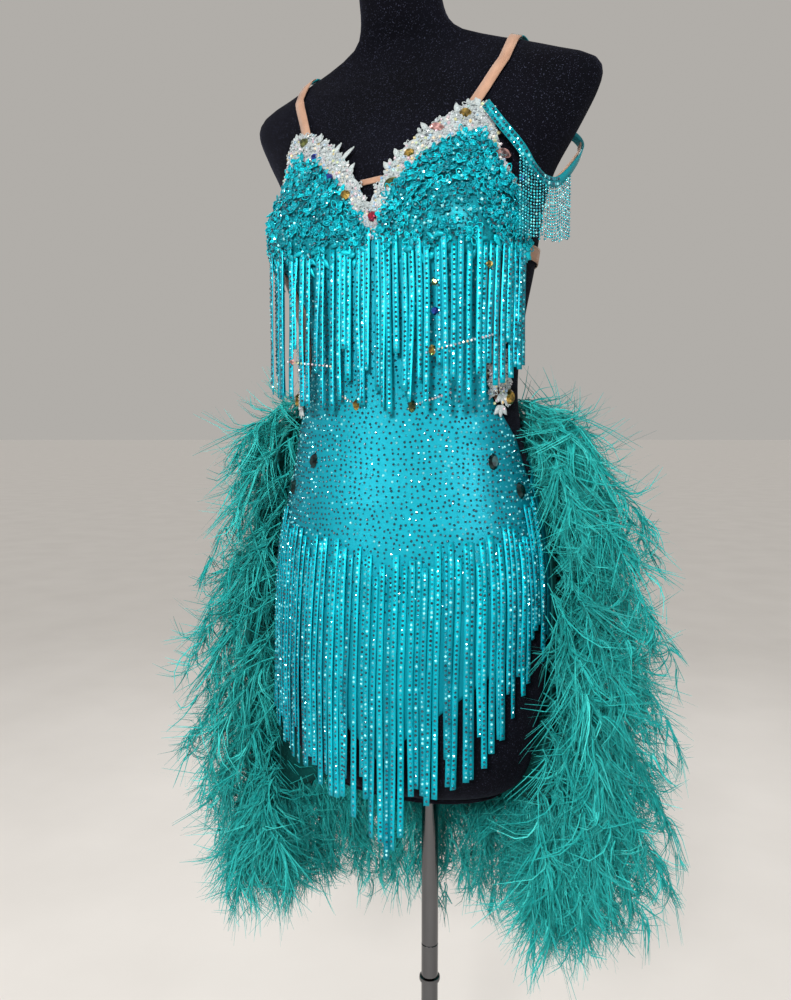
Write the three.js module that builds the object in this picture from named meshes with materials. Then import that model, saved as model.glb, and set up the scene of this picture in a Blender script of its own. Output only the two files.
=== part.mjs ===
// Latin dance dress on a limbless dress form and its chrome pole stand.
// Millimetres, +Z up. The pole axis is X = 0, Y = 0 and the floor is Z = 0.
// The dress faces -Y, and the wearer's left side is +X.
import * as THREE from 'three';

// ---- Driving dimensions -------------------------------------------------

const POLE_RADIUS = 10;
const POLE_SEAM_HEIGHT = 525;
const BEAD_HEIGHT = 478;
const BEAD_RADIUS = 12.5;
const BEAD_LENGTH = 6.5;
const BASE_RADIUS = 165;
const BASE_THICKNESS = 11;
const FLANGE_RADIUS = 38;
const FLANGE_TOP = 44;
const SOCKET_RADIUS = 24;
const SOCKET_LENGTH = 24;
const FIT_GAP = 0.3;

const FORM_BOTTOM = 756;
const NECK_TOP = 1600;
const PLATE_THICKNESS = 6;
const NECK_CAP_THICKNESS = 7;

// Distances out from the form's surface to the inner face of each layer of cloth.
const FIRST_LAYER = 1.7;
const SECOND_LAYER = 4.5;
const NET_LAYER = 5.2;
const FEATHER_LAYER = 10.5;
const CLOTH = 1.2;
const LACE = 2.4;
const FRINGE = 3;
const SEAM = 0.4;

const STRAP_WIDTH = 11;
const STRAP_X = { atCup: 96, onShoulder: 118 };
const CUP_BOTTOM = 1301;
const BODICE_HALF_ANGLE = 72;
const HIP_HALF_ANGLE = 76;
const NET_START_ANGLE = 83;

// ---- Short tables -------------------------------------------------------

// Horizontal sections of the form: where each one is widest, how wide it is on each side,
// and where its front and its back lie.
const FORM_SECTIONS = [
  { height: 756, halfWidth: 114, front: -120, back: 42, middle: -50 },
  { height: 768, halfWidth: 128, front: -138, back: 55, middle: -51 },
  { height: 795, halfWidth: 138, front: -154, back: 65, middle: -52 },
  { height: 860, halfWidth: 148, front: -165, back: 76, middle: -52 },
  { height: 930, halfWidth: 154, front: -163, back: 84, middle: -50 },
  { height: 1000, halfWidth: 152, front: -157, back: 80, middle: -50 },
  { height: 1060, halfWidth: 142, front: -150, back: 58, middle: -52 },
  { height: 1110, halfWidth: 129, front: -144, back: 36, middle: -56 },
  { height: 1160, halfWidth: 122, front: -141, back: 20, middle: -60 },
  { height: 1200, halfWidth: 122, front: -141, back: 18, middle: -60 },
  { height: 1250, halfWidth: 128, front: -142, back: 22, middle: -60 },
  { height: 1300, halfWidth: 137, front: -144, back: 30, middle: -58 },
  { height: 1350, halfWidth: 143, front: -144, back: 36, middle: -54 },
  { height: 1380, halfWidth: 149, front: -137, back: 38, middle: -51 },
  { height: 1400, halfWidth: 157, front: -131, back: 38, middle: -49 },
  { height: 1440, halfWidth: 182, front: -114, back: 36, middle: -46 },
  { height: 1475, halfWidth: 199, front: -100, back: 28, middle: -44 },
  { height: 1492, halfWidth: 192, front: -92, back: 20, middle: -42 },
  { height: 1503, halfWidth: 165, front: -86, back: 12, middle: -42 },
  { height: 1515, halfWidth: 132, front: -82, back: 2, middle: -44 },
  { height: 1527, halfWidth: 92, front: -82, back: -8, middle: -50 },
  { height: 1537, halfWidth: 62, front: -90, back: -18, middle: -58 },
  { height: 1550, halfWidth: 48, front: -102, back: -30, middle: -68 },
  { height: 1575, halfWidth: 43, front: -114, back: -42, middle: -78 },
  { height: 1600, halfWidth: 43, front: -120, back: -46, middle: -83 },
];

// The two cups' fullness, added to the sections above. The form under them is a little less full.
const CUP = { angle: 40, height: 1330, fullness: 25, angleSpread: 22, heightSpread: 46 };
const FORM_SHARE_OF_FULLNESS = 0.85;

// How far the dress is turned on the form, in degrees, at each height.
const TURN = [
  { height: 754, degrees: 8 },
  { height: 1200, degrees: 8 },
  { height: 1310, degrees: 4 },
  { height: 1400, degrees: 0 },
  { height: 1600, degrees: 0 },
];

// Upper edge of a cup, from the V at centre front, over the cup's point, down the armhole.
const CUP_EDGE = [
  { angle: 0, height: 1348 },
  { angle: 6, height: 1378 },
  { angle: 11, height: 1398 },
  { angle: 18, height: 1420 },
  { angle: 26, height: 1437 },
  { angle: 32, height: 1443 },
  { angle: 38, height: 1437 },
  { angle: 44, height: 1416 },
  { angle: 54, height: 1381 },
  { angle: 64, height: 1350 },
  { angle: 72, height: 1319 },
];

// Depth of the crystal lace that follows that edge: wide on the neckline, narrow on the armhole.
const EDGE_LACE_DEPTH = [
  { angle: 0, depth: 31 },
  { angle: 32, depth: 30 },
  { angle: 40, depth: 18 },
  { angle: 46, depth: 9 },
  { angle: 72, depth: 8 },
];

// Half width of the front panel, and outer edge of the mesh beside it, as angles.
const FRONT_PANEL_EDGE = [
  { height: 770, angle: 79 },
  { height: 1080, angle: 79 },
  { height: 1125, angle: 74 },
  { height: 1165, angle: 57 },
  { height: 1200, angle: 48 },
  { height: 1250, angle: 44 },
  { height: 1301, angle: 46 },
];
const MESH_EDGE = [
  { height: 1160, angle: 73 },
  { height: 1200, angle: 64 },
  { height: 1245, angle: 60 },
  { height: 1301, angle: 71 },
];

// Lower ends of the two rows of fringe.
const BUST_FRINGE_ENDS = [
  { angle: -66, height: 1210 },
  { angle: -50, height: 1175 },
  { angle: -24, height: 1156 },
  { angle: -8, height: 1164 },
  { angle: 8, height: 1150 },
  { angle: 36, height: 1160 },
  { angle: 68, height: 1198 },
];
const HIP_FRINGE_ENDS = [
  { angle: -76, height: 832 },
  { angle: -58, height: 806 },
  { angle: -38, height: 786 },
  { angle: -16, height: 762 },
  { angle: -3, height: 737 },
  { angle: 4, height: 714 },
  { angle: 12, height: 745 },
  { angle: 22, height: 780 },
  { angle: 37, height: 804 },
  { angle: 50, height: 842 },
  { angle: 64, height: 886 },
  { angle: 76, height: 906 },
];

// Three tiers of feathers, and how far each reaches out at its top, middle and bottom.
const FEATHER_TIERS = [
  { name: 'upper', start: 83, top: 1168, bottom: 976, reachTop: 44, reachMiddle: 102, reachBottom: 122 },
  { name: 'middle', start: 77.5, top: 975, bottom: 781, reachTop: 114, reachMiddle: 128, reachBottom: 140 },
  {
    name: 'lower', start: 64, top: 780, bottom: 552, reachTop: 128, reachMiddle: 138, reachBottom: 112,
    liftedHem: true,
  },
];

// Fullness of the feathers round the skirt, and how far the hem is lifted from the lowest tier's
// bottom. The wearer's right lobe reaches a little further out than the left one.
const FEATHER_SHAPE = [
  { angle: 64, factor: 0.74, lift: 44 },
  { angle: 83, factor: 0.8, lift: 38 },
  { angle: 110, factor: 0.9, lift: 26 },
  { angle: 150, factor: 0.84, lift: 4 },
  { angle: 180, factor: 0.8, lift: 0 },
  { angle: 210, factor: 0.84, lift: 4 },
  { angle: 250, factor: 0.9, lift: 14 },
  { angle: 277, factor: 0.8, lift: 26 },
  { angle: 296, factor: 0.78, lift: 34 },
];

// The band that hangs from the left cup, round below the shoulder, up to the back strap.
const ARM_BAND_ROUTE = [
  { x: 112, y: -120, z: 1437 },
  { x: 129, y: -121, z: 1415 },
  { x: 145, y: -116, z: 1394 },
  { x: 152, y: -105, z: 1379 },
  { x: 158, y: -86, z: 1371 },
  { x: 163, y: -58, z: 1376 },
  { x: 168, y: -24, z: 1400 },
  { x: 166, y: 8, z: 1424 },
  { x: 150, y: 30, z: 1446 },
  { x: 124, y: 34, z: 1462 },
];
const ARM_BAND_WIDTH = 9;
const ARM_FRINGE_BOTTOM = 1313;
const ARM_FRINGE_CLEARANCE = 4;

// ---- Materials ----------------------------------------------------------

function finish(color, roughness, metalness = 0) {
  return new THREE.MeshStandardMaterial({ color, roughness, metalness });
}

const velvet = () => finish(0x0c0e18, 0.95);
const chrome = () => finish(0xc8cbd0, 0.12, 1);
const stretch = () => finish(0x09b4c4, 0.45);
const guipure = () => finish(0x14aeb4, 0.55);
const crystalLace = () => finish(0xdce4e6, 0.35);
const nudeElastic = () => finish(0xb48a70, 0.7);
const nudeMesh = () => finish(0x9a7460, 0.8);
const plumage = () => finish(0x1f9890, 0.8);

// ---- Reading the tables -------------------------------------------------

function smoothColumn(rows, key, value) {
  const slopes = rows.map((row, i) => {
    const before = rows[Math.max(i - 1, 0)];
    const after = rows[Math.min(i + 1, rows.length - 1)];
    return (after[value] - before[value]) / (after[key] - before[key]);
  });
  return (at) => {
    const x = THREE.MathUtils.clamp(at, rows[0][key], rows[rows.length - 1][key]);
    let i = rows.length - 2;
    while (i > 0 && rows[i][key] > x) {
      i -= 1;
    }
    const span = rows[i + 1][key] - rows[i][key];
    const t = (x - rows[i][key]) / span;
    const ease = t * t * (3 - 2 * t);
    const leave = t * (1 - t) * (1 - t) * span * slopes[i];
    const arrive = t * t * (t - 1) * span * slopes[i + 1];
    return rows[i][value] * (1 - ease) + rows[i + 1][value] * ease + leave + arrive;
  };
}

function straightColumn(rows, key, value) {
  return (at) => {
    const x = THREE.MathUtils.clamp(at, rows[0][key], rows[rows.length - 1][key]);
    let i = rows.length - 2;
    while (i > 0 && rows[i][key] > x) {
      i -= 1;
    }
    const t = (x - rows[i][key]) / (rows[i + 1][key] - rows[i][key]);
    return THREE.MathUtils.lerp(rows[i][value], rows[i + 1][value], t);
  };
}

const formHalfWidth = smoothColumn(FORM_SECTIONS, 'height', 'halfWidth');
const formFront = smoothColumn(FORM_SECTIONS, 'height', 'front');
const formBack = smoothColumn(FORM_SECTIONS, 'height', 'back');
const formMiddle = smoothColumn(FORM_SECTIONS, 'height', 'middle');
const turnAt = smoothColumn(TURN, 'height', 'degrees');
const cupEdge = smoothColumn(CUP_EDGE, 'angle', 'height');
const edgeLaceDepth = straightColumn(EDGE_LACE_DEPTH, 'angle', 'depth');
const frontPanelEdge = straightColumn(FRONT_PANEL_EDGE, 'height', 'angle');
const meshEdge = smoothColumn(MESH_EDGE, 'height', 'angle');
const bustFringeEnd = straightColumn(BUST_FRINGE_ENDS, 'angle', 'height');
const hipFringeEnd = straightColumn(HIP_FRINGE_ENDS, 'angle', 'height');
const featherFullness = straightColumn(FEATHER_SHAPE, 'angle', 'factor');
const hemLift = straightColumn(FEATHER_SHAPE, 'angle', 'lift');

// ---- Surfaces of the form and of cloth that hangs from it ---------------

const radians = THREE.MathUtils.degToRad;

function cupFullness(angle, height) {
  const degrees = THREE.MathUtils.euclideanModulo(angle + 180, 360) - 180;
  const rise = Math.exp(-(((height - CUP.height) / CUP.heightSpread) ** 2));
  const left = Math.exp(-(((degrees - CUP.angle) / CUP.angleSpread) ** 2));
  const right = Math.exp(-(((degrees + CUP.angle) / CUP.angleSpread) ** 2));
  return CUP.fullness * rise * (left + right);
}

// A point of a section: 0 degrees is centre front, 90 the wearer's left side, 180 the back.
function sectionPoint(extents, degrees, fullness, height) {
  const turn = radians(degrees);
  const depth = Math.cos(turn) > 0 ? extents.middle - extents.front : extents.back - extents.middle;
  const x = (extents.halfWidth + fullness) * Math.sin(turn);
  const y = extents.middle - (depth + fullness) * Math.cos(turn);
  return new THREE.Vector3(x, y, height);
}

function formExtents(height) {
  return {
    halfWidth: formHalfWidth(height),
    front: formFront(height),
    back: formBack(height),
    middle: formMiddle(height),
  };
}

function formPoint(degrees, height) {
  return sectionPoint(formExtents(height), degrees, cupFullness(degrees, height), height);
}

// Cloth hung at a start height follows the widest section that it has passed, then drops plumb.
const HANG_STEPS = 30;

function hangingPoint(degrees, height, startHeight) {
  const extents = formExtents(startHeight);
  for (let i = 1; i <= HANG_STEPS; i += 1) {
    const section = formExtents(THREE.MathUtils.lerp(startHeight, height, i / HANG_STEPS));
    extents.halfWidth = Math.max(extents.halfWidth, section.halfWidth);
    extents.front = Math.min(extents.front, section.front);
    extents.back = Math.max(extents.back, section.back);
  }
  return sectionPoint(extents, degrees, cupFullness(degrees, startHeight), height);
}

function outward(place, degrees, height) {
  const across = place(degrees + 0.5, height).sub(place(degrees - 0.5, height));
  const rise = place(degrees, height + 1).sub(place(degrees, height - 1));
  return across.cross(rise).normalize();
}

// ---- Closed bodies ------------------------------------------------------

function signedVolume(points, triangles) {
  let total = 0;
  for (const [a, b, c] of triangles) {
    total += points[a].dot(points[b].clone().cross(points[c]));
  }
  return total / 6;
}

function closedMesh(name, material, points, triangles) {
  const inward = signedVolume(points, triangles) < 0;
  const faces = triangles.map(([a, b, c]) => (inward ? [a, c, b] : [a, b, c]));
  const geometry = new THREE.BufferGeometry();
  geometry.setAttribute('position', new THREE.Float32BufferAttribute(points.flatMap((p) => p.toArray()), 3));
  geometry.setIndex(faces.flat());
  geometry.computeVertexNormals();
  const mesh = new THREE.Mesh(geometry, material);
  mesh.name = name;
  return mesh;
}

// One body between two faces, each a grid of rows of points.
function bodyBetween(name, material, inner, outer) {
  const rows = inner.length;
  const columns = inner[0].length;
  const points = [...inner.flat(), ...outer.flat()];
  const triangles = [];
  const at = (face, i, j) => face * rows * columns + i * columns + j;
  const quad = (a, b, c, d) => triangles.push([a, b, c], [a, c, d]);
  for (let i = 0; i + 1 < rows; i += 1) {
    for (let j = 0; j + 1 < columns; j += 1) {
      quad(at(0, i, j), at(0, i, j + 1), at(0, i + 1, j + 1), at(0, i + 1, j));
      quad(at(1, i, j), at(1, i + 1, j), at(1, i + 1, j + 1), at(1, i, j + 1));
    }
  }
  const last = columns - 1;
  for (let i = 0; i + 1 < rows; i += 1) {
    quad(at(0, i, 0), at(0, i + 1, 0), at(1, i + 1, 0), at(1, i, 0));
    quad(at(0, i, last), at(1, i, last), at(1, i + 1, last), at(0, i + 1, last));
  }
  for (let j = 0; j + 1 < columns; j += 1) {
    quad(at(0, 0, j), at(1, 0, j), at(1, 0, j + 1), at(0, 0, j + 1));
    quad(at(0, rows - 1, j), at(0, rows - 1, j + 1), at(1, rows - 1, j + 1), at(1, rows - 1, j));
  }
  return closedMesh(name, material, points, triangles);
}

// One body through closed rings, with a flat face at each end.
function bodyThroughRings(name, material, rings) {
  const sides = rings[0].length;
  const points = rings.flat();
  const triangles = [];
  for (let i = 0; i + 1 < rings.length; i += 1) {
    for (let j = 0; j < sides; j += 1) {
      const next = (j + 1) % sides;
      const a = i * sides + j;
      const b = i * sides + next;
      triangles.push([a, b, b + sides], [a, b + sides, a + sides]);
    }
  }
  const ends = [{ ring: 0, flip: true }, { ring: rings.length - 1, flip: false }];
  for (const { ring, flip } of ends) {
    const centre = new THREE.Vector3();
    rings[ring].forEach((p) => centre.addScaledVector(p, 1 / sides));
    const middle = points.push(centre) - 1;
    for (let j = 0; j < sides; j += 1) {
      const a = ring * sides + j;
      const b = ring * sides + ((j + 1) % sides);
      triangles.push(flip ? [middle, b, a] : [middle, a, b]);
    }
  }
  return closedMesh(name, material, points, triangles);
}

// ---- Cloth walls --------------------------------------------------------

// A wall of cloth over the form. left and right give its side edges as angles at a height;
// top and bottom give its other edges as heights at -1 (left edge) to 1 (right edge).
function clothWall(name, material, cut) {
  const { left, right, top, bottom, offset, thickness, columns, rows } = cut;
  const inner = [];
  const outer = [];
  for (let i = 0; i <= columns; i += 1) {
    const across = (2 * i) / columns - 1;
    const start = top(across);
    const end = bottom(across);
    const place = cut.hangs ? (degrees, z) => hangingPoint(degrees, z, start) : formPoint;
    const innerRow = [];
    const outerRow = [];
    for (let j = 0; j <= rows; j += 1) {
      const height = THREE.MathUtils.lerp(start, end, j / rows);
      const share = (across + 1) / 2;
      const dressAngle = THREE.MathUtils.lerp(left(height), right(height), share);
      const formAngle = dressAngle + turnAt(cut.hangs ? start : height);
      const point = place(formAngle, height);
      const normal = outward(formPoint, formAngle, height);
      if (cut.hangs) {
        normal.z = 0;
        normal.normalize();
      }
      innerRow.push(point.clone().addScaledVector(normal, offset));
      outerRow.push(point.clone().addScaledVector(normal, offset + thickness));
    }
    inner.push(innerRow);
    outer.push(outerRow);
  }
  return bodyBetween(name, material, inner, outer);
}

// A flat ribbon along points, each with the direction that its outer face looks.
function ribbon(name, material, route, width, thickness) {
  const inner = [];
  const outer = [];
  route.forEach(({ point, facing }, i) => {
    const before = route[Math.max(i - 1, 0)].point;
    const after = route[Math.min(i + 1, route.length - 1)].point;
    const along = after.clone().sub(before).normalize();
    const across = facing.clone().cross(along).normalize();
    const out = along.clone().cross(across).normalize();
    const edge = (side, lift) => point.clone()
      .addScaledVector(across, side * width / 2)
      .addScaledVector(out, lift);
    inner.push([edge(-1, 0), edge(1, 0)]);
    outer.push([edge(-1, thickness), edge(1, thickness)]);
  });
  return bodyBetween(name, material, inner, outer);
}

const SIDES = [
  { name: 'left', sign: 1 },
  { name: 'right', sign: -1 },
];

// Angles of a piece on one side of the dress, from its inner to its outer edge, in rising order.
function sideAngles(sign, inner, outer) {
  const innerAngle = (height) => sign * inner(height);
  const outerAngle = (height) => sign * outer(height);
  return sign > 0 ? { left: innerAngle, right: outerAngle } : { left: outerAngle, right: innerAngle };
}

// Angle on the dress at a place from -1 to 1 across a piece between two constant angles.
function angleAcross(sign, inner, outer, across) {
  const share = sign > 0 ? (across + 1) / 2 : (1 - across) / 2;
  return THREE.MathUtils.lerp(inner, outer, share);
}

// ---- The stand ----------------------------------------------------------

function lathed(name, material, profile, sides = 32) {
  const points = profile.map(([radius, height]) => new THREE.Vector2(radius, height));
  const geometry = new THREE.LatheGeometry(points, sides);
  const mesh = new THREE.Mesh(geometry, material);
  mesh.name = name;
  mesh.rotation.x = Math.PI / 2;
  return mesh;
}

function tube(name, bottom, top, radius) {
  return lathed(name, chrome(), [[0, bottom], [radius, bottom], [radius, top], [0, top]], 32);
}

function baseDisc() {
  const edge = 4;
  return lathed('base_disc', chrome(), [
    [0, 0],
    [BASE_RADIUS, 0],
    [BASE_RADIUS, BASE_THICKNESS - edge - 3],
    [BASE_RADIUS - edge, BASE_THICKNESS - 3],
    [FLANGE_RADIUS + 2, BASE_THICKNESS],
    [0, BASE_THICKNESS],
  ], 64);
}

function baseFlange() {
  const bottom = BASE_THICKNESS + FIT_GAP;
  const bore = POLE_RADIUS + FIT_GAP + 0.1;
  return lathed('base_flange', chrome(), [
    [bore, bottom],
    [FLANGE_RADIUS, bottom],
    [FLANGE_RADIUS, bottom + 4],
    [POLE_RADIUS + 7, bottom + 10],
    [POLE_RADIUS + 5, FLANGE_TOP],
    [bore, FLANGE_TOP],
    [bore, bottom],
  ]);
}

function poleSocket() {
  const top = FORM_BOTTOM - PLATE_THICKNESS - 2 * FIT_GAP;
  const bottom = top - SOCKET_LENGTH;
  const bore = POLE_RADIUS + FIT_GAP + 0.1;
  return lathed('pole_socket', chrome(), [
    [bore, bottom],
    [SOCKET_RADIUS - 8, bottom],
    [SOCKET_RADIUS - 6, top - 5],
    [SOCKET_RADIUS, top - 3],
    [SOCKET_RADIUS, top],
    [bore, top],
    [bore, bottom],
  ]);
}

function stand() {
  const poleTop = FORM_BOTTOM - PLATE_THICKNESS - 2 * FIT_GAP;
  const beadTop = BEAD_HEIGHT + BEAD_LENGTH;
  const bead = lathed('pole_bead', chrome(), [
    [0, BEAD_HEIGHT],
    [BEAD_RADIUS - 2, BEAD_HEIGHT],
    [BEAD_RADIUS, BEAD_HEIGHT + 2],
    [BEAD_RADIUS, beadTop - 2],
    [BEAD_RADIUS - 2, beadTop],
    [0, beadTop],
  ], 32);
  return [
    baseDisc(),
    baseFlange(),
    tube('pole_lower', BASE_THICKNESS + FIT_GAP, BEAD_HEIGHT - FIT_GAP, POLE_RADIUS),
    bead,
    tube('pole_coupling', beadTop + FIT_GAP, POLE_SEAM_HEIGHT - FIT_GAP, POLE_RADIUS),
    tube('pole_upper', POLE_SEAM_HEIGHT, poleTop, POLE_RADIUS),
    poleSocket(),
  ];
}

// ---- The form -----------------------------------------------------------

const FORM_SIDES = 36;
const FORM_RINGS = [
  756, 761, 768, 780, 795, 825, 860, 895, 930, 965, 1000, 1030, 1060, 1085, 1110, 1135, 1160, 1200,
  1225, 1250, 1275, 1300, 1325, 1350, 1375, 1400, 1420, 1440, 1458, 1475, 1484, 1492, 1498, 1503,
  1509, 1515, 1521, 1527, 1532, 1537, 1550, 1575, 1600,
];

function formRing(height, scale = 1, lift = 0) {
  const extents = formExtents(height);
  const centre = new THREE.Vector3(0, extents.middle, height);
  const ring = [];
  for (let i = 0; i < FORM_SIDES; i += 1) {
    const degrees = (360 * i) / FORM_SIDES;
    const fullness = FORM_SHARE_OF_FULLNESS * cupFullness(degrees, height);
    const point = sectionPoint(extents, degrees, fullness, height);
    const spread = point.sub(centre).multiplyScalar(scale);
    ring.push(spread.add(centre).add(new THREE.Vector3(0, 0, lift)));
  }
  return ring;
}

function dressForm() {
  const torso = FORM_RINGS.map((height) => formRing(height));
  const plate = [-FIT_GAP - PLATE_THICKNESS, -FIT_GAP].map((lift) => formRing(FORM_BOTTOM, 0.96, lift));
  const capLifts = [
    { lift: FIT_GAP, scale: 0.97 },
    { lift: NECK_CAP_THICKNESS - 2, scale: 0.97 },
    { lift: NECK_CAP_THICKNESS, scale: 0.88 },
  ];
  const cap = capLifts.map(({ lift, scale }) => formRing(NECK_TOP, scale, lift));
  return [
    bodyThroughRings('form_torso', velvet(), torso),
    bodyThroughRings('form_bottom_plate', velvet(), plate),
    bodyThroughRings('form_neck_cap', velvet(), cap),
  ];
}

// ---- Body of the dress --------------------------------------------------

function frontPanel() {
  return clothWall('front_panel', stretch(), {
    left: (height) => -frontPanelEdge(height),
    right: (height) => frontPanelEdge(height),
    top: () => CUP_BOTTOM - SEAM,
    bottom: (across) => 806 + 150 * Math.abs(across) ** 0.85,
    offset: FIRST_LAYER,
    thickness: CLOTH,
    columns: 16,
    rows: 14,
  });
}

function backPanel() {
  const start = 79 + SEAM;
  return clothWall('back_panel', stretch(), {
    left: () => start,
    right: () => 360 - start,
    top: (across) => 1085 + 45 * (1 - across * across),
    bottom: (across) => 860 + 70 * across * across,
    offset: FIRST_LAYER,
    thickness: CLOTH,
    columns: 20,
    rows: 6,
  });
}

const MESH_SEAM_ANGLE = 1.3;

function sideMesh({ name, sign }) {
  return clothWall(`side_mesh_${name}`, nudeMesh(), {
    ...sideAngles(sign, (height) => frontPanelEdge(height) + MESH_SEAM_ANGLE, meshEdge),
    top: () => CUP_BOTTOM - SEAM,
    bottom: (across) => 1162 + 4 * Math.abs(across),
    offset: FIRST_LAYER,
    thickness: CLOTH,
    columns: 4,
    rows: 8,
  });
}

function backBand() {
  const start = BODICE_HALF_ANGLE + SEAM;
  return clothWall('back_band', nudeElastic(), {
    left: () => start,
    right: () => 360 - start,
    top: () => 1316,
    bottom: () => 1302,
    offset: FIRST_LAYER,
    thickness: CLOTH,
    columns: 20,
    rows: 1,
  });
}

// ---- Cups and their lace ------------------------------------------------

const CUP_COLUMNS = 13;
const CUP_ROWS = 8;
const LACE_GAP = 1.4;

function cup({ name, sign }) {
  const inner = 0.2;
  return clothWall(`cup_${name}`, stretch(), {
    ...sideAngles(sign, () => inner, () => BODICE_HALF_ANGLE),
    top: (across) => cupEdge(angleAcross(sign, inner, BODICE_HALF_ANGLE, across)) - 2,
    bottom: () => CUP_BOTTOM,
    offset: FIRST_LAYER,
    thickness: CLOTH,
    columns: CUP_COLUMNS,
    rows: CUP_ROWS,
  });
}

// A band of lace along the cup's upper edge, between two angles.
function edgeLace(name, sign, inner, outer, columns) {
  const at = (across) => angleAcross(sign, inner, outer, across);
  return clothWall(name, crystalLace(), {
    ...sideAngles(sign, () => inner, () => outer),
    top: (across) => cupEdge(at(across)),
    bottom: (across) => cupEdge(at(across)) - edgeLaceDepth(at(across)),
    offset: SECOND_LAYER,
    thickness: LACE,
    columns,
    rows: 2,
  });
}

function cupLace({ name, sign }) {
  const inner = 3;
  const outer = BODICE_HALF_ANGLE;
  const at = (across) => angleAcross(sign, inner, outer, across);
  return clothWall(`cup_lace_${name}`, guipure(), {
    ...sideAngles(sign, () => inner, () => outer),
    top: (across) => cupEdge(at(across)) - edgeLaceDepth(at(across)) - LACE_GAP,
    bottom: () => CUP_BOTTOM + 2,
    offset: SECOND_LAYER,
    thickness: LACE,
    columns: CUP_COLUMNS,
    rows: CUP_ROWS - 2,
  });
}

function goreBand() {
  const halfAngle = 4.6;
  return clothWall('gore_band', nudeElastic(), {
    left: () => -halfAngle,
    right: () => halfAngle,
    top: () => 1379,
    bottom: () => 1373,
    offset: FIRST_LAYER,
    thickness: CLOTH,
    columns: 2,
    rows: 1,
  });
}

function waistApplique({ name, sign }) {
  return clothWall(`waist_applique_${name}`, crystalLace(), {
    ...sideAngles(sign, () => 50, () => 71),
    top: (across) => 1226 - 12 * across * across,
    bottom: (across) => 1154 + 18 * across * across,
    offset: SECOND_LAYER,
    thickness: LACE,
    columns: 4,
    rows: 3,
  });
}

// ---- Straps -------------------------------------------------------------

// Height on the shoulder where the form is a given distance wide each side.
function shoulderHeight(halfWidth) {
  let low = 1475;
  let high = 1550;
  for (let i = 0; i < 30; i += 1) {
    const middle = (low + high) / 2;
    if (formHalfWidth(middle) > halfWidth) {
      low = middle;
    } else {
      high = middle;
    }
  }
  return low;
}

const STRAP_START = 1447;
const STRAP_BEND = 1490;
const SHOULDER_TOP_ANGLES = [42, 50, 58, 66, 74, 82, 90, 98, 106, 114, 122, 130, 138];

function strapStation(sign, degrees, height) {
  const side = sign * degrees;
  const facing = outward(formPoint, side, height);
  const point = formPoint(side, height).addScaledVector(facing, FIRST_LAYER + 1.3);
  return { point, facing };
}

function strapRoute(sign) {
  const angleAt = (x, height) => THREE.MathUtils.radToDeg(Math.asin(x / formHalfWidth(height)));
  const front = [];
  for (let height = STRAP_START; height < STRAP_BEND; height += 12) {
    const x = THREE.MathUtils.mapLinear(height, STRAP_START, STRAP_BEND, STRAP_X.atCup, STRAP_X.onShoulder);
    front.push(strapStation(sign, angleAt(x, height), height));
  }
  const top = SHOULDER_TOP_ANGLES.map((degrees) => {
    const height = shoulderHeight(STRAP_X.onShoulder / Math.sin(radians(degrees)));
    return strapStation(sign, degrees, height);
  });
  const back = [];
  for (let height = 1480; height > 1317; height -= 18) {
    back.push(strapStation(sign, 180 - angleAt(STRAP_X.onShoulder, height), height));
  }
  return { front, top, back };
}

const NUDE_TOP_STATIONS = 5;

function straps({ name, sign }) {
  const { front, top, back } = strapRoute(sign);
  const nude = [...front, ...top.slice(0, NUDE_TOP_STATIONS)];
  const teal = [...top.slice(NUDE_TOP_STATIONS), ...back];
  return [
    ribbon(`strap_front_${name}`, nudeElastic(), nude, STRAP_WIDTH, CLOTH),
    ribbon(`strap_back_${name}`, stretch(), teal, STRAP_WIDTH, CLOTH),
  ];
}

// ---- The arm drape ------------------------------------------------------

const ARM_AXIS = new THREE.Vector3(120, -45, 0);

function armStation(x, y, z) {
  const point = new THREE.Vector3(x, y, z);
  const facing = point.clone().sub(ARM_AXIS).setZ(0).normalize();
  return { point, facing };
}

function armDrape() {
  const band = ARM_BAND_ROUTE.map(({ x, y, z }) => armStation(x, y, z));
  const lining = band.slice(3, 8).map(({ point, facing }) => ({
    point: point.clone().addScaledVector(facing, -3.2).add(new THREE.Vector3(0, 0, 1)),
    facing,
  }));
  const inner = [];
  const outer = [];
  for (const { point, facing } of band.slice(2, 7)) {
    const top = point.z - ARM_BAND_WIDTH / 2 - ARM_FRINGE_CLEARANCE;
    const drop = [top, ARM_FRINGE_BOTTOM].map((z) => point.clone().setZ(z));
    inner.push(drop.map((p) => p.clone().addScaledVector(facing, -1)));
    outer.push(drop.map((p) => p.clone().addScaledVector(facing, 2)));
  }
  return [
    ribbon('arm_band', stretch(), band, ARM_BAND_WIDTH, CLOTH),
    ribbon('arm_elastic', nudeElastic(), lining, ARM_BAND_WIDTH - 2, CLOTH),
    bodyBetween('arm_fringe', guipure(), inner, outer),
  ];
}

// ---- Fringe -------------------------------------------------------------

function fringeStart(angle) {
  return 1008 + 48 * (Math.abs(angle) / HIP_HALF_ANGLE) ** 1.6;
}

function fringeWall(name, from, to, start, end, columns, rows) {
  const at = (across) => THREE.MathUtils.lerp(from, to, (across + 1) / 2);
  return clothWall(name, guipure(), {
    left: () => from,
    right: () => to,
    top: (across) => start(at(across)),
    bottom: (across) => end(at(across)),
    offset: SECOND_LAYER,
    thickness: FRINGE,
    columns,
    rows,
    hangs: true,
  });
}

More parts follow.
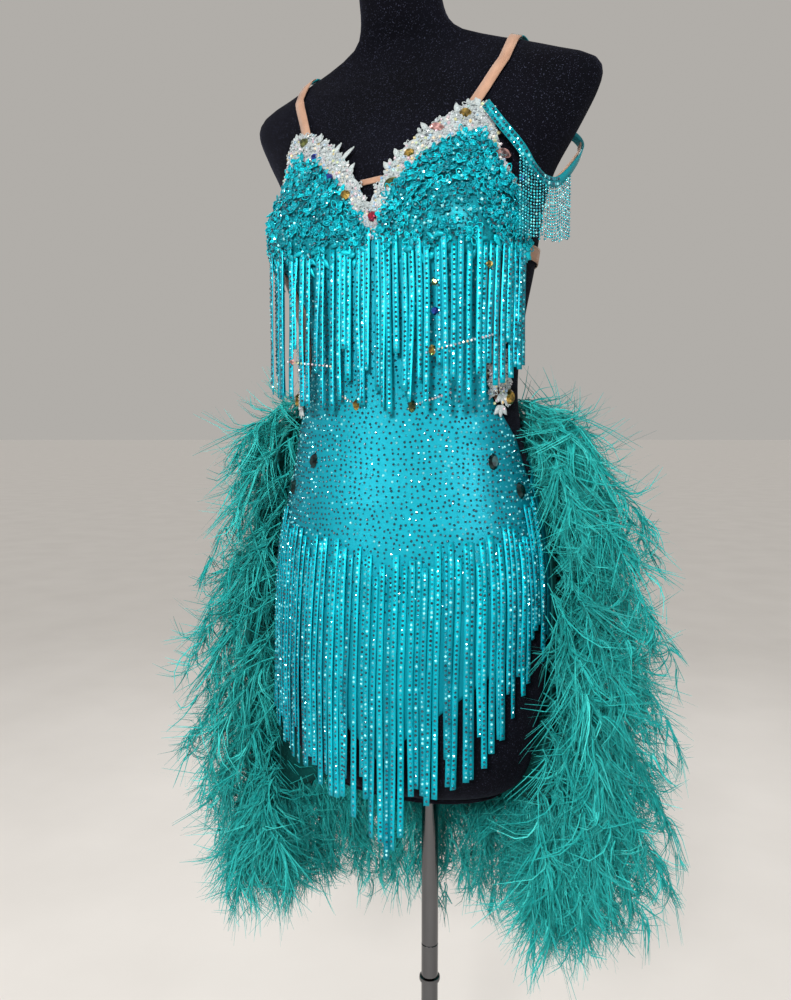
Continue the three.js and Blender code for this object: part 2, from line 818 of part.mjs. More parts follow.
function fringes() {
  const bustStart = () => CUP_BOTTOM - 2;
  const bust = [
    { name: 'bust_fringe_right', from: -64, to: -22.2 },
    { name: 'bust_fringe_centre', from: -21.8, to: 21.8 },
    { name: 'bust_fringe_left', from: 22.2, to: 68 },
  ].map(({ name, from, to }) => fringeWall(name, from, to, bustStart, bustFringeEnd, 8, 4));
  const hip = [
    { name: 'hip_fringe_right', from: -HIP_HALF_ANGLE, to: -26.2 },
    { name: 'hip_fringe_centre', from: -25.8, to: 25.8 },
    { name: 'hip_fringe_left', from: 26.2, to: HIP_HALF_ANGLE },
  ].map(({ name, from, to }) => fringeWall(name, from, to, fringeStart, hipFringeEnd, 10, 9));
  const plain = fringeWall('plain_ribbon', -70, -65, bustStart, () => 1207, 1, 3);
  return [...bust, ...hip, plain];
}

// ---- Feather skirt ------------------------------------------------------

function skirtNet({ name, sign }) {
  const from = NET_START_ANGLE;
  const angles = sign > 0 ? { left: from, right: 179.8 } : { left: 180.2, right: 360 - from };
  return clothWall(`skirt_net_${name}`, stretch(), {
    left: () => angles.left,
    right: () => angles.right,
    top: () => 1080,
    bottom: () => 700,
    offset: NET_LAYER,
    thickness: CLOTH,
    columns: 11,
    rows: 11,
    hangs: true,
  });
}

function featherSectors(tier) {
  return [
    { name: 'left_side', from: tier.start, to: 129.8 },
    { name: 'left_back', from: 130.2, to: 179.8 },
    { name: 'right_back', from: 180.2, to: 229.8 },
    { name: 'right_side', from: 230.2, to: 360 - tier.start },
  ];
}

const FEATHER_COLUMNS = 5;
const FEATHER_ROWS = 5;

function featherReach(tier, share) {
  const { reachTop, reachMiddle, reachBottom } = tier;
  const early = THREE.MathUtils.lerp(reachTop, reachMiddle, Math.min(2 * share, 1));
  const late = THREE.MathUtils.lerp(0, reachBottom - reachMiddle, Math.max(2 * share - 1, 0));
  return early + late;
}

function featherBlock(tier, sector) {
  const inner = [];
  const outer = [];
  for (let i = 0; i <= FEATHER_COLUMNS; i += 1) {
    const degrees = THREE.MathUtils.lerp(sector.from, sector.to, i / FEATHER_COLUMNS);
    const formAngle = degrees + turnAt(tier.top);
    const out = new THREE.Vector3(Math.sin(radians(formAngle)), -Math.cos(radians(formAngle)), 0);
    const innerRow = [];
    const outerRow = [];
    for (let j = 0; j <= FEATHER_ROWS; j += 1) {
      const share = j / FEATHER_ROWS;
      const bottom = tier.bottom + (tier.liftedHem ? hemLift(degrees) : 0);
      const height = THREE.MathUtils.lerp(tier.top, bottom, share);
      const near = hangingPoint(formAngle, height, FEATHER_TIERS[0].top).addScaledVector(out, FEATHER_LAYER);
      const reach = featherReach(tier, share) * featherFullness(degrees);
      innerRow.push(near);
      outerRow.push(near.clone().addScaledVector(out, reach));
    }
    inner.push(innerRow);
    outer.push(outerRow);
  }
  return bodyBetween(`feathers_${tier.name}_${sector.name}`, plumage(), inner, outer);
}

function featherSkirt() {
  return FEATHER_TIERS.flatMap((tier) => featherSectors(tier).map((sector) => featherBlock(tier, sector)));
}

// ---- Everything together ------------------------------------------------

const dress = [
  frontPanel(),
  backPanel(),
  backBand(),
  goreBand(),
  ...SIDES.flatMap((side) => [
    cup(side),
    cupLace(side),
    edgeLace(`neck_lace_${side.name}`, side.sign, 0.4, 43.8, 12),
    edgeLace(`armhole_lace_${side.name}`, side.sign, 44.2, BODICE_HALF_ANGLE, 7),
    sideMesh(side),
    waistApplique(side),
    skirtNet(side),
    ...straps(side),
  ]),
  ...armDrape(),
  ...fringes(),
  ...featherSkirt(),
];

const group = new THREE.Group();
group.add(...stand(), ...dressForm(), ...dress);

export default group;
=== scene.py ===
"""Looks of a teal latin dance dress on a black velvet dress form and a chrome pole stand.

Shapes are worked out in millimetres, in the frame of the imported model: the pole axis is X = 0,
Y = 0, the floor is Z = 0, the dress faces -Y and the wearer's left is +X. Meshes are in metres.
"""

import math

import bpy
import numpy as np
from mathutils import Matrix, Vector


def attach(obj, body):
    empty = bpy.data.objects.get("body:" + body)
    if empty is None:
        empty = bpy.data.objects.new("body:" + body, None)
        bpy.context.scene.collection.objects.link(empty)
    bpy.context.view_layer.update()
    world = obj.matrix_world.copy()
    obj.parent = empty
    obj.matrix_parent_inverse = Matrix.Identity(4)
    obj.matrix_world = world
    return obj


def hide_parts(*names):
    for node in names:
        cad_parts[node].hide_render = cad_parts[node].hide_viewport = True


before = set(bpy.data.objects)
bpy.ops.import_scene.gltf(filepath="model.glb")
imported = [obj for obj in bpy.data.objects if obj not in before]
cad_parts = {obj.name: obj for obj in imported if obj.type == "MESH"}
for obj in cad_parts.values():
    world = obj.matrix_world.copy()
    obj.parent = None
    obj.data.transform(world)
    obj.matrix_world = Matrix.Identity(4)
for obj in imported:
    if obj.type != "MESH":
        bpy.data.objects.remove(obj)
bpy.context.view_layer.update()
MM = 0.001

# ---- Camera -------------------------------------------------------------------------------

CAMERA_AZIMUTH = 28.0
CAMERA_DISTANCE = 0.971
CAMERA_HEIGHT = 1.136
CAMERA_SIDE = -0.041
CAMERA_DIP = 4.7
CAMERA_LENS = 30.6


def add_camera():
    turn = math.radians(CAMERA_AZIMUTH)
    away = Vector((math.sin(turn), -math.cos(turn), 0))
    side = Vector((math.cos(turn), math.sin(turn), 0))
    data = bpy.data.cameras.new("camera")
    data.lens = CAMERA_LENS
    data.sensor_width = 36
    data.clip_end = 100
    camera = bpy.data.objects.new("camera", data)
    camera.location = away * CAMERA_DISTANCE + side * CAMERA_SIDE + Vector((0, 0, CAMERA_HEIGHT))
    camera.rotation_euler = (math.radians(90 - CAMERA_DIP), 0, turn)
    bpy.context.collection.objects.link(camera)
    bpy.context.scene.camera = camera


# ---- The form's surface, as in the CAD ----------------------------------------------------

# height, half width, front, back, middle (the height's widest place)
FORM_SECTIONS = np.array([
    (756, 114, -120, 42, -50),
    (768, 128, -138, 55, -51),
    (795, 138, -154, 65, -52),
    (860, 148, -165, 76, -52),
    (930, 154, -163, 84, -50),
    (1000, 152, -157, 80, -50),
    (1060, 142, -150, 58, -52),
    (1110, 129, -144, 36, -56),
    (1160, 122, -141, 20, -60),
    (1200, 122, -141, 18, -60),
    (1250, 128, -142, 22, -60),
    (1300, 137, -144, 30, -58),
    (1350, 143, -144, 36, -54),
    (1380, 149, -137, 38, -51),
    (1400, 157, -131, 38, -49),
    (1440, 182, -114, 36, -46),
    (1475, 199, -100, 28, -44),
    (1492, 192, -92, 20, -42),
    (1503, 165, -86, 12, -42),
    (1515, 132, -82, 2, -44),
    (1527, 92, -82, -8, -50),
    (1537, 62, -90, -18, -58),
    (1550, 48, -102, -30, -68),
    (1575, 43, -114, -42, -78),
    (1600, 43, -120, -46, -83),
], float)
FORM_BOTTOM, NECK_TOP = 756, 1600

CUP_ANGLE, CUP_HEIGHT, CUP_FULLNESS = 40, 1330, 25
CUP_ANGLE_SPREAD, CUP_HEIGHT_SPREAD = 22, 46
FORM_SHARE_OF_FULLNESS = 0.85

# height, how far the dress is turned on the form in degrees
TURN = np.array([(754, 8), (1200, 8), (1310, 4), (1400, 0), (1600, 0)], float)

# angle, height: a cup's upper edge from the V, over its point, down the armhole
CUP_EDGE = np.array([
    (0, 1348), (6, 1378), (11, 1398), (18, 1420), (26, 1437), (32, 1443),
    (38, 1437), (44, 1416), (54, 1381), (64, 1350), (72, 1319),
], float)
# angle, depth: the crystal lace along that edge
EDGE_LACE_DEPTH = np.array([(0, 31), (32, 30), (40, 18), (46, 9), (72, 8)], float)
# height, angle: half width of the front panel, and outer edge of the mesh beside it
FRONT_PANEL_EDGE = np.array([
    (770, 79), (1080, 79), (1125, 74), (1165, 57), (1200, 48), (1250, 44), (1301, 46),
], float)
MESH_EDGE = np.array([(1160, 73), (1200, 64), (1245, 60), (1301, 71)], float)
# angle, height: lower ends of the fringes
BUST_FRINGE_ENDS = np.array([
    (-66, 1210), (-50, 1175), (-24, 1156), (-8, 1164), (8, 1150), (36, 1160), (68, 1198),
], float)
HIP_FRINGE_ENDS = np.array([
    (-76, 832), (-58, 806), (-38, 786), (-16, 762), (-3, 737), (4, 714),
    (12, 745), (22, 780), (37, 804), (50, 842), (64, 886), (76, 906),
], float)

CUP_BOTTOM = 1301
BODICE_HALF_ANGLE = 72
HIP_HALF_ANGLE = 76
# thickness of the cloth, and how far off the form its layers lie
CLOTH = 1.0
FIRST_LAYER = 1.7
SECOND_LAYER = 4.5
NET_LAYER = 5.2
SIDES = (("left", 1), ("right", -1))


def smooth_column(table, column, at):
    """A smooth curve through a table's column, along its first column."""
    keys, values = table[:, 0], table[:, column]
    before = np.r_[keys[0], keys[:-1]], np.r_[values[0], values[:-1]]
    after = np.r_[keys[1:], keys[-1]], np.r_[values[1:], values[-1]]
    slopes = (after[1] - before[1]) / (after[0] - before[0])
    x = np.clip(at, keys[0], keys[-1])
    i = np.clip(np.searchsorted(keys, x, side="right") - 1, 0, len(keys) - 2)
    span = keys[i + 1] - keys[i]
    t = (x - keys[i]) / span
    ease = t * t * (3 - 2 * t)
    leave = t * (1 - t) ** 2 * span * slopes[i]
    arrive = t * t * (t - 1) * span * slopes[i + 1]
    return values[i] * (1 - ease) + values[i + 1] * ease + leave + arrive


def straight_column(table, at):
    return np.interp(at, table[:, 0], table[:, 1])


def turn_at(height):
    return smooth_column(TURN, 1, height)


def cup_edge(angle):
    return smooth_column(CUP_EDGE, 1, np.abs(angle))


def cup_fullness(degrees, height):
    degrees = (degrees + 180) % 360 - 180
    rise = np.exp(-(((height - CUP_HEIGHT) / CUP_HEIGHT_SPREAD) ** 2))
    left = np.exp(-(((degrees - CUP_ANGLE) / CUP_ANGLE_SPREAD) ** 2))
    right = np.exp(-(((degrees + CUP_ANGLE) / CUP_ANGLE_SPREAD) ** 2))
    return CUP_FULLNESS * rise * (left + right)


def section_point(extents, degrees, fullness, height):
    half_width, front, back, middle = extents
    turn = np.radians(degrees)
    depth = np.where(np.cos(turn) > 0, middle - front, back - middle)
    x = (half_width + fullness) * np.sin(turn)
    y = middle - (depth + fullness) * np.cos(turn)
    return np.stack([x, y, height + 0 * x], -1)


def form_extents(height):
    return [smooth_column(FORM_SECTIONS, column, height) for column in (1, 2, 3, 4)]


def form_point(degrees, height):
    degrees, height = np.broadcast_arrays(np.asarray(degrees, float), np.asarray(height, float))
    return section_point(form_extents(height), degrees, cup_fullness(degrees, height), height)


def hanging_point(degrees, height, start):
    """Cloth hung at a start height follows the widest section it has passed, then drops plumb."""
    degrees, height, start = np.broadcast_arrays(
        np.asarray(degrees, float), np.asarray(height, float), np.asarray(start, float))
    extents = form_extents(start)
    for share in np.linspace(0, 1, 31)[1:]:
        here = form_extents(start + (height - start) * share)
        extents[0] = np.maximum(extents[0], here[0])
        extents[1] = np.minimum(extents[1], here[1])
        extents[2] = np.maximum(extents[2], here[2])
    return section_point(extents, degrees, cup_fullness(degrees, start), height)


def unit(vectors):
    return vectors / np.maximum(np.linalg.norm(vectors, axis=-1, keepdims=True), 1e-9)


def form_normal(degrees, height):
    across = form_point(degrees + 0.5, height) - form_point(degrees - 0.5, height)
    rise = form_point(degrees, height + 1) - form_point(degrees, height - 1)
    return unit(np.cross(across, rise))


def on_dress(angle, height, lift):
    """A point on the dress, lifted off the form, and the outward direction there."""
    degrees = angle + turn_at(height)
    normal = form_normal(degrees, height)
    return form_point(degrees, height) + normal * np.asarray(lift)[..., None], normal


def hung_on_dress(angle, height, start, lift):
    degrees = angle + turn_at(start)
    normal = form_normal(degrees, height)
    normal = unit(normal * np.array([1, 1, 0]))
    return hanging_point(degrees, height, start) + normal * np.asarray(lift)[..., None], normal


def dress_place(angle, height, lift):
    """One point on the dress, and the outward direction there."""
    points, normals = on_dress(np.array([angle]), np.array([height]), np.array([lift]))
    return points[0], normals[0]


# ---- Mesh building ------------------------------------------------------------------------


class Soup:
    """Points and faces gathered from many small shapes, with a tone for each point."""

    def __init__(self):
        self.points, self.faces, self.tones, self.count = [], [], [], 0

    def add(self, points, faces, tone=0.5):
        points = np.asarray(points, float).reshape(-1, 3)
        self.points.append(points)
        self.faces.append(np.asarray(faces, int) + self.count)
        self.tones.append(np.broadcast_to(np.asarray(tone, float).ravel(), len(points)))
        self.count += len(points)

    def add_many(self, points, faces, tones):
        """Copies of one shape: points is (copies, points, 3), tones one for each copy."""
        copies, size = points.shape[:2]
        starts = np.arange(copies)[:, None, None] * size
        self.points.append(points.reshape(-1, 3))
        self.faces.append((np.asarray(faces)[None] + starts + self.count).reshape(-1, len(faces[0])))
        self.tones.append(np.repeat(tones, size))
        self.count += copies * size


def make_piece(name, soup, material, replaces=(), smooth=True):
    points = np.concatenate(soup.points) * MM
    mesh = bpy.data.meshes.new(name)
    sizes = np.concatenate([np.full(len(block), block.shape[1]) for block in soup.faces])
    corners = np.concatenate([block.ravel() for block in soup.faces])
    mesh.vertices.add(len(points))
    mesh.vertices.foreach_set("co", points.ravel())
    mesh.loops.add(len(corners))
    mesh.loops.foreach_set("vertex_index", corners)
    mesh.polygons.add(len(sizes))
    mesh.polygons.foreach_set("loop_start", np.r_[0, np.cumsum(sizes)[:-1]])
    mesh.polygons.foreach_set("use_smooth", np.full(len(sizes), smooth))
    tone = mesh.attributes.new("tone", "FLOAT", "POINT")
    tone.data.foreach_set("value", np.concatenate(soup.tones))
    mesh.update(calc_edges=True)
    mesh.validate()
    mesh.materials.append(material)
    piece = bpy.data.objects.new(name, mesh)
    bpy.context.collection.objects.link(piece)
    if replaces:
        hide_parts(*replaces)
    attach(piece, "root")
    return piece


def grid_faces(rows, columns, offset=0, flip=False):
    i, j = np.meshgrid(np.arange(rows - 1), np.arange(columns - 1), indexing="ij")
    a = (i * columns + j).ravel() + offset
    faces = np.stack([a, a + 1, a + columns + 1, a + columns], -1)
    return faces[:, ::-1] if flip else faces


def shell_faces(rows, columns):
    """Faces of a closed wall whose points are an inner grid and then an outer grid."""
    size = rows * columns
    rim = np.r_[
        np.arange(columns),
        np.arange(1, rows) * columns + columns - 1,
        (rows - 1) * columns + np.arange(columns - 2, -1, -1),
        np.arange(rows - 2, 0, -1) * columns,
    ]
    after = np.roll(rim, -1)
    edge = np.stack([rim, after, after + size, rim + size], -1)
    inner = grid_faces(rows, columns, 0, True)
    return np.concatenate([inner, grid_faces(rows, columns, size), edge])


def tube_faces(rows, sides, closed=False):
    """Faces round rows of points, open at both ends or joined into a loop."""
    i, j = np.meshgrid(np.arange(rows if closed else rows - 1), np.arange(sides), indexing="ij")
    here, after, beside = i * sides, (i + 1) % rows * sides, (j + 1) % sides
    return np.stack([here + j, here + beside, after + beside, after + j], -1).reshape(-1, 4)


def on_edge(edge, at):
    """An edge is a plain number, or a function of the place along it."""
    return edge(at) if callable(edge) else edge + 0 * at


def wall_grid(left, right, top, bottom, columns, rows):
    """Dress angles and heights over a piece of cloth, as arrays (columns, rows).

    The left and right edges go by height, the top and bottom by the place across, from -1 to 1.
    """
    across = np.linspace(-1, 1, columns)[:, None]
    down = np.linspace(0, 1, rows)[None, :]
    height = on_edge(top, across) + (on_edge(bottom, across) - on_edge(top, across)) * down
    share = (across + 1) / 2
    angle = on_edge(left, height) + (on_edge(right, height) - on_edge(left, height)) * share
    return angle, height


def between(across, inner, outer):
    """The dress angle at a place across, from -1 at the inner edge to 1 at the outer."""
    return inner + (outer - inner) * (across + 1) / 2


def mirrored(inner, outer, sign):
    """A span of dress angles on the wearer's left, or its mirror image on the right."""
    return (inner, outer) if sign > 0 else (-outer, -inner)


def read_off(at, places, values):
    """Points read off a row of them, at places between their own."""
    return np.stack([np.interp(at, places, values[:, k]) for k in range(3)], -1)


def add_wall(soup, angle, height, lift, thickness, tone=0.5, start=None):
    columns, rows = angle.shape
    if start is None:
        inner, normal = on_dress(angle, height, lift + 0 * angle)
    else:
        inner, normal = hung_on_dress(angle, height, start + 0 * angle, lift + 0 * angle)
    points = np.concatenate([inner.reshape(-1, 3), (inner + normal * thickness).reshape(-1, 3)])
    tones = np.tile(np.broadcast_to(tone, angle.shape).ravel(), 2)
    soup.add(points, shell_faces(columns, rows), tones)


def make_cloth(name, grid, lift, material, node, tone=0.5, start=None):
    """One piece of cloth: a thin wall over a grid of dress angles and heights."""
    soup = Soup()
    add_wall(soup, *grid, lift, CLOTH, tone, start)
    make_piece(name, soup, material, [node])


def add_ribbon(soup, centres, across, out, width, thickness, tone=0.5):
    """A closed flat ribbon through centres, with the directions across it and out of it."""
    half = across * (np.asarray(width) / 2).reshape(-1, 1)
    inner = np.stack([centres - half, centres + half], 1)
    outer = inner + (out * thickness)[:, None]
    points = np.concatenate([inner.reshape(-1, 3), outer.reshape(-1, 3)])
    soup.add(points, shell_faces(len(centres), 2), tone)


def frame_along(route, facing):
    """Directions across a ribbon along a route, and out of its face."""
    along = unit(np.gradient(route, axis=0))
    across = unit(np.cross(facing, along))
    return across, unit(np.cross(along, across))


def smooth_route(points, count):
    points = np.asarray(points, float)
    table = np.column_stack([np.arange(len(points)), points])
    at = np.linspace(0, len(points) - 1, count)
    return np.stack([smooth_column(table, column, at) for column in (1, 2, 3)], -1)


def side_vectors(normals, turn):
    """Two directions square to each normal, turned about it by an angle each."""
    up = np.tile([0.0, 0.0, 1.0], (len(normals), 1))
    up[np.abs(normals[:, 2]) > 0.95] = (0, 1, 0)
    a = unit(np.cross(up, normals))
    b = np.cross(normals, a)
    c, s = np.cos(turn)[:, None], np.sin(turn)[:, None]
    return a * c + b * s, b * c - a * s


# a stone's flat table against its girdle, and its middle against the table's height
STONE_TABLE, STONE_CROWN = 0.6, 1.04


def add_stones(soup, centres, normals, radius, rng, sides=5, rise=0.55, stretch=1.0, tones=None,
               tilt=0.12, turn=None):
    """Faceted stones: a wide girdle, a raised table and sloping facets between them."""
    centres, count = np.asarray(centres, float).reshape(-1, 3), len(centres)
    if count == 0:
        return
    normals = np.asarray(normals, float).reshape(-1, 3)
    normals = unit(normals + rng.normal(0, tilt, (count, 3)))
    turn = rng.uniform(0, 2 * math.pi, count) if turn is None else np.broadcast_to(turn, count)
    a, b = side_vectors(normals, turn)
    radius = np.broadcast_to(np.asarray(radius, float), count)[:, None, None]
    ring = np.arange(sides) * 2 * math.pi / sides

    def round_at(turn):
        return np.cos(turn)[None, :, None] * a[:, None] * stretch + np.sin(turn)[None, :, None] * b[:, None]

    low = centres[:, None] + round_at(ring) * radius
    table = round_at(ring + math.pi / sides) * radius * STONE_TABLE
    high = centres[:, None] + table + normals[:, None] * radius * rise
    middle = centres[:, None] + normals[:, None] * radius * rise * STONE_CROWN
    points = np.concatenate([low, high, middle], 1)
    j = np.arange(sides)
    k = (j + 1) % sides
    faces = np.concatenate([
        np.stack([j, k, j + sides], -1),
        np.stack([k, k + sides, j + sides], -1),
        np.stack([j + sides, k + sides, np.full(sides, 2 * sides)], -1),
    ])
    tones = rng.uniform(0, 1, count) if tones is None else np.broadcast_to(tones, count)
    soup.add_many(points, faces, tones)


# ---- Materials ----------------------------------------------------------------------------


class Shader:
    """Small helper that wires a node material."""

    def __init__(self, name):
        self.material = bpy.data.materials.new(name)
        self.material.use_nodes = True
        self.tree = self.material.node_tree
        self.surface = self.tree.nodes["Principled BSDF"]

    def node(self, kind, **values):
        node = self.tree.nodes.new(kind)
        for key, value in values.items():
            setattr(node, key, value)
        return node

    def link(self, source, target):
        self.tree.links.new(source, target)

    def set(self, **values):
        for key, value in values.items():
            self.surface.inputs[key.replace("_", " ")].default_value = value

    def object_coordinates(self):
        return self.node("ShaderNodeTexCoord").outputs["Object"]

    def noise(self, scale, detail, stretch=(1, 1, 1)):
        mapping = self.node("ShaderNodeMapping")
        mapping.inputs["Scale"].default_value = stretch
        self.link(self.object_coordinates(), mapping.inputs["Vector"])
        noise = self.node("ShaderNodeTexNoise")
        noise.inputs["Scale"].default_value = scale
        noise.inputs["Detail"].default_value = detail
        self.link(mapping.outputs["Vector"], noise.inputs["Vector"])
        return noise.outputs["Fac"]

    def wave(self, scale, direction, distortion):
        wave = self.node("ShaderNodeTexWave", wave_type="BANDS", bands_direction=direction)
        wave.inputs["Scale"].default_value = scale
        wave.inputs["Distortion"].default_value = distortion
        self.link(self.object_coordinates(), wave.inputs["Vector"])
        return wave.outputs["Fac"]

    def tone(self):
        return self.node("ShaderNodeAttribute", attribute_name="tone").outputs["Fac"]

    def math(self, operation, a, b):
        node = self.node("ShaderNodeMath", operation=operation)
        for socket, value in zip(node.inputs, (a, b)):
            if isinstance(value, (int, float)):
                socket.default_value = value
            else:
                self.link(value, socket)
        return node.outputs[0]

    def ramp(self, factor, stops):
        node = self.node("ShaderNodeValToRGB")
        elements = node.color_ramp.elements
        while len(elements) < len(stops):
            elements.new(0.5)
        for element, (place, colour) in zip(elements, stops):
            element.position = place
            element.color = (*colour, 1)
        self.link(factor, node.inputs["Fac"])
        return node.outputs["Color"]

    def mix(self, factor, a, b, blend="MIX"):
        node = self.node("ShaderNodeMix", data_type="RGBA", blend_type=blend)
        for name, value in (("Factor", factor), ("A", a), ("B", b)):
            socket = next(s for s in node.inputs if s.name == name and s.enabled)
            if isinstance(value, (int, float)):
                socket.default_value = value
            elif isinstance(value, tuple):
                socket.default_value = (*value, 1)
            else:
                self.link(value, socket)
        return next(s for s in node.outputs if s.enabled)

    def colour(self, socket):
        self.link(socket, self.surface.inputs["Base Color"])

    def roughness(self, factor, low, high):
        node = self.node("ShaderNodeMapRange")
        node.inputs["To Min"].default_value = low
        node.inputs["To Max"].default_value = high
        self.link(factor, node.inputs["Value"])
        self.link(node.outputs["Result"], self.surface.inputs["Roughness"])

    def bump(self, height, distance, strength=1.0):
        node = self.node("ShaderNodeBump")
        node.inputs["Strength"].default_value = strength
        node.inputs["Distance"].default_value = distance
        self.link(height, node.inputs["Height"])
        self.link(node.outputs["Normal"], self.surface.inputs["Normal"])


def velvet_material():
    shader = Shader("black_velvet")
    patches = shader.noise(9, 5)
    pile = shader.noise(1400, 2)
    fleck = shader.ramp(shader.noise(900, 0), [
        (0.0, (0, 0, 0)), (0.68, (0, 0, 0)), (0.78, (0.05, 0.055, 0.09))])
    base = shader.ramp(patches, [(0.3, (0.0012, 0.0013, 0.0024)), (0.7, (0.003, 0.0032, 0.0062))])
    shader.colour(shader.mix(0.5, base, fleck, "ADD"))
    shader.roughness(patches, 0.82, 0.96)
    shader.set(Sheen_Weight=0.045, Sheen_Roughness=0.35, Sheen_Tint=(0.45, 0.5, 0.8, 1))
    shader.set(Specular_IOR_Level=0.05)
    shader.bump(pile, 0.0006, 0.7)
    return shader.material


def chrome_material():
    shader = Shader("chrome")
    smudge = shader.noise(60, 6, (1, 1, 0.25))
    # Painted reflection: the chrome's base colour is kept very dark, standing in for dark surroundings seen
    # in it; the smudge noise varies it only a little.
    shader.colour(shader.ramp(smudge, [(0.3, (0.11, 0.11, 0.115)), (0.7, (0.13, 0.13, 0.135))]))
    shader.roughness(smudge, 0.06, 0.11)
    shader.set(Metallic=1.0)
    shader.bump(shader.noise(900, 2, (1, 1, 0.05)), 0.00002, 0.3)
    return shader.material


def stretch_material(name="teal_stretch", dark=(0.0, 0.1, 0.14), light=(0.0, 0.3, 0.395)):
    """Shiny knitted stretch cloth: fine ribs, a soft sheen, uneven brightness at random, and a tone that
    mixes it towards the dark colour, which on the front panel is painted shade.
    """
    shader = Shader(name)
    cloud = shader.noise(14, 4)
    ribs = shader.wave(1100, "X", 1.2)
    middle = tuple(0.25 * d + 0.75 * l for d, l in zip(dark, light))
    base = shader.ramp(cloud, [(0.25, middle), (0.7, light)])
    shader.colour(shader.mix(shader.tone(), dark, base))
    shader.roughness(cloud, 0.38, 0.5)
    shader.set(Metallic=0.4, Specular_IOR_Level=0.2)
    shader.bump(ribs, 0.00012, 0.5)
    return shader.material


def tape_material():
    shader = Shader("fringe_tape")
    cloud = shader.noise(30, 4)
    thread = shader.noise(700, 3, (1, 1, 0.25))
    base = shader.ramp(shader.tone(), [
        (0.0, (0.0, 0.08, 0.11)), (0.5, (0.0, 0.31, 0.41)), (1.0, (0.0, 0.54, 0.67))])
    patches = shader.ramp(cloud, [(0.3, (0.0, 0.14, 0.2)), (0.7, (0.0, 0.5, 0.64))])
    shader.colour(shader.mix(0.35, base, patches))
    shader.roughness(thread, 0.32, 0.52)
    shader.set(Metallic=0.5, Specular_IOR_Level=0.25)
    shader.bump(thread, 0.0002, 0.6)
    return shader.material


def guipure_material():
    shader = Shader("teal_guipure")
    thread = shader.noise(1300, 3)
    base = shader.ramp(shader.tone(), [
        (0.0, (0.0, 0.04, 0.06)), (0.35, (0.0, 0.2, 0.26)), (0.7, (0.0, 0.44, 0.54)),
        (1.0, (0.005, 0.7, 0.8))])
    twist = shader.ramp(thread, [(0.3, (0.0, 0.1, 0.14)), (0.7, (0.0, 0.7, 0.82))])
    shader.colour(shader.mix(0.3, base, twist))
    shader.roughness(thread, 0.35, 0.6)
    shader.set(Metallic=0.45, Specular_IOR_Level=0.3)
    shader.bump(thread, 0.0003, 0.7)
    return shader.material


def stone_material(name, stops, metallic=0.55, roughness=(0.04, 0.16), coat=1.0):
    shader = Shader(name)
    shader.colour(shader.ramp(shader.tone(), stops))
    shader.roughness(shader.noise(500, 1), *roughness)
    shader.set(Metallic=metallic, Coat_Weight=coat, Coat_Roughness=0.03, Specular_IOR_Level=0.9)
    return shader.material


def lace_material():
    shader = Shader("crystal_lace_ground")
    thread = shader.noise(1500, 3)
    shader.colour(shader.ramp(thread, [(0.25, (0.14, 0.19, 0.21)), (0.7, (0.5, 0.55, 0.55))]))
    shader.roughness(thread, 0.45, 0.75)
    shader.set(Sheen_Weight=0.3)
    shader.bump(thread, 0.0004, 0.8)
    return shader.material


def elastic_material(name, dark, light, alpha=1.0, sheen=0.2):
    shader = Shader(name)
    weave = shader.math("MULTIPLY", shader.wave(900, "Z", 0.6), shader.wave(700, "X", 0.6))
    cloud = shader.noise(40, 3)
    base = shader.ramp(cloud, [(0.3, dark), (0.7, light)])
    shader.colour(shader.mix(shader.math("MULTIPLY", weave, 0.35), base, dark))
    shader.roughness(cloud, 0.6, 0.8)
    shader.set(Sheen_Weight=sheen, Alpha=alpha, Specular_IOR_Level=0.2)
    shader.bump(weave, 0.0002, 0.6)
    return shader.material


def feather_material(name, stops):
    shader = Shader(name)
    streak = shader.noise(220, 3, (1, 1, 0.4))
    base = shader.ramp(shader.tone(), stops)
    strands = shader.ramp(streak, [(0.3, (0.0, 0.1, 0.095)), (0.7, (0.06, 0.46, 0.42))])
    shader.colour(shader.mix(0.3, base, strands))
    shader.roughness(streak, 0.5, 0.75)
    shader.set(Sheen_Weight=0.08, Sheen_Tint=(0.3, 0.95, 0.9, 1), Specular_IOR_Level=0.2)
    return shader.material


# Teal stones: the low end is the stones' own dark teal; the top of the ramp, up to near white, is a painted
# glint.
TEAL_STONE_STOPS = [
    (0.0, (0.0, 0.022, 0.04)), (0.5, (0.0, 0.07, 0.11)), (0.78, (0.0, 0.32, 0.42)), (1.0, (0.35, 0.95, 1.0))]
CLEAR_STONE_STOPS = [
    (0.0, (0.1, 0.11, 0.14)), (0.2, (0.42, 0.47, 0.5)), (0.35, (0.62, 0.42, 0.5)), (0.5, (0.7, 0.74, 0.74)),
    (0.65, (0.25, 0.45, 0.7)), (0.8, (0.5, 0.62, 0.36)), (0.9, (0.7, 0.5, 0.24)), (1.0, (0.95, 0.95, 0.95))]

VELVET = velvet_material()
CHROME = chrome_material()
STRETCH = stretch_material()
TAPE = tape_material()
GUIPURE = guipure_material()
LACE = lace_material()
NUDE = elastic_material("nude_elastic", (0.3, 0.16, 0.1), (0.47, 0.28, 0.19))
NUDE_MESH = elastic_material("nude_mesh", (0.16, 0.09, 0.06), (0.3, 0.18, 0.12), 0.72)
TEAL_ELASTIC = stretch_material("teal_elastic", (0.0, 0.14, 0.18), (0.0, 0.36, 0.43))
NET = elastic_material("teal_net", (0.0, 0.05, 0.05), (0.0, 0.1, 0.095), sheen=0.0)
FEATHER = feather_material("ostrich_feather", [
    (0.0, (0.0, 0.13, 0.13)), (0.35, (0.0, 0.28, 0.28)), (0.7, (0.006, 0.41, 0.4)), (1.0, (0.05, 0.63, 0.6))])
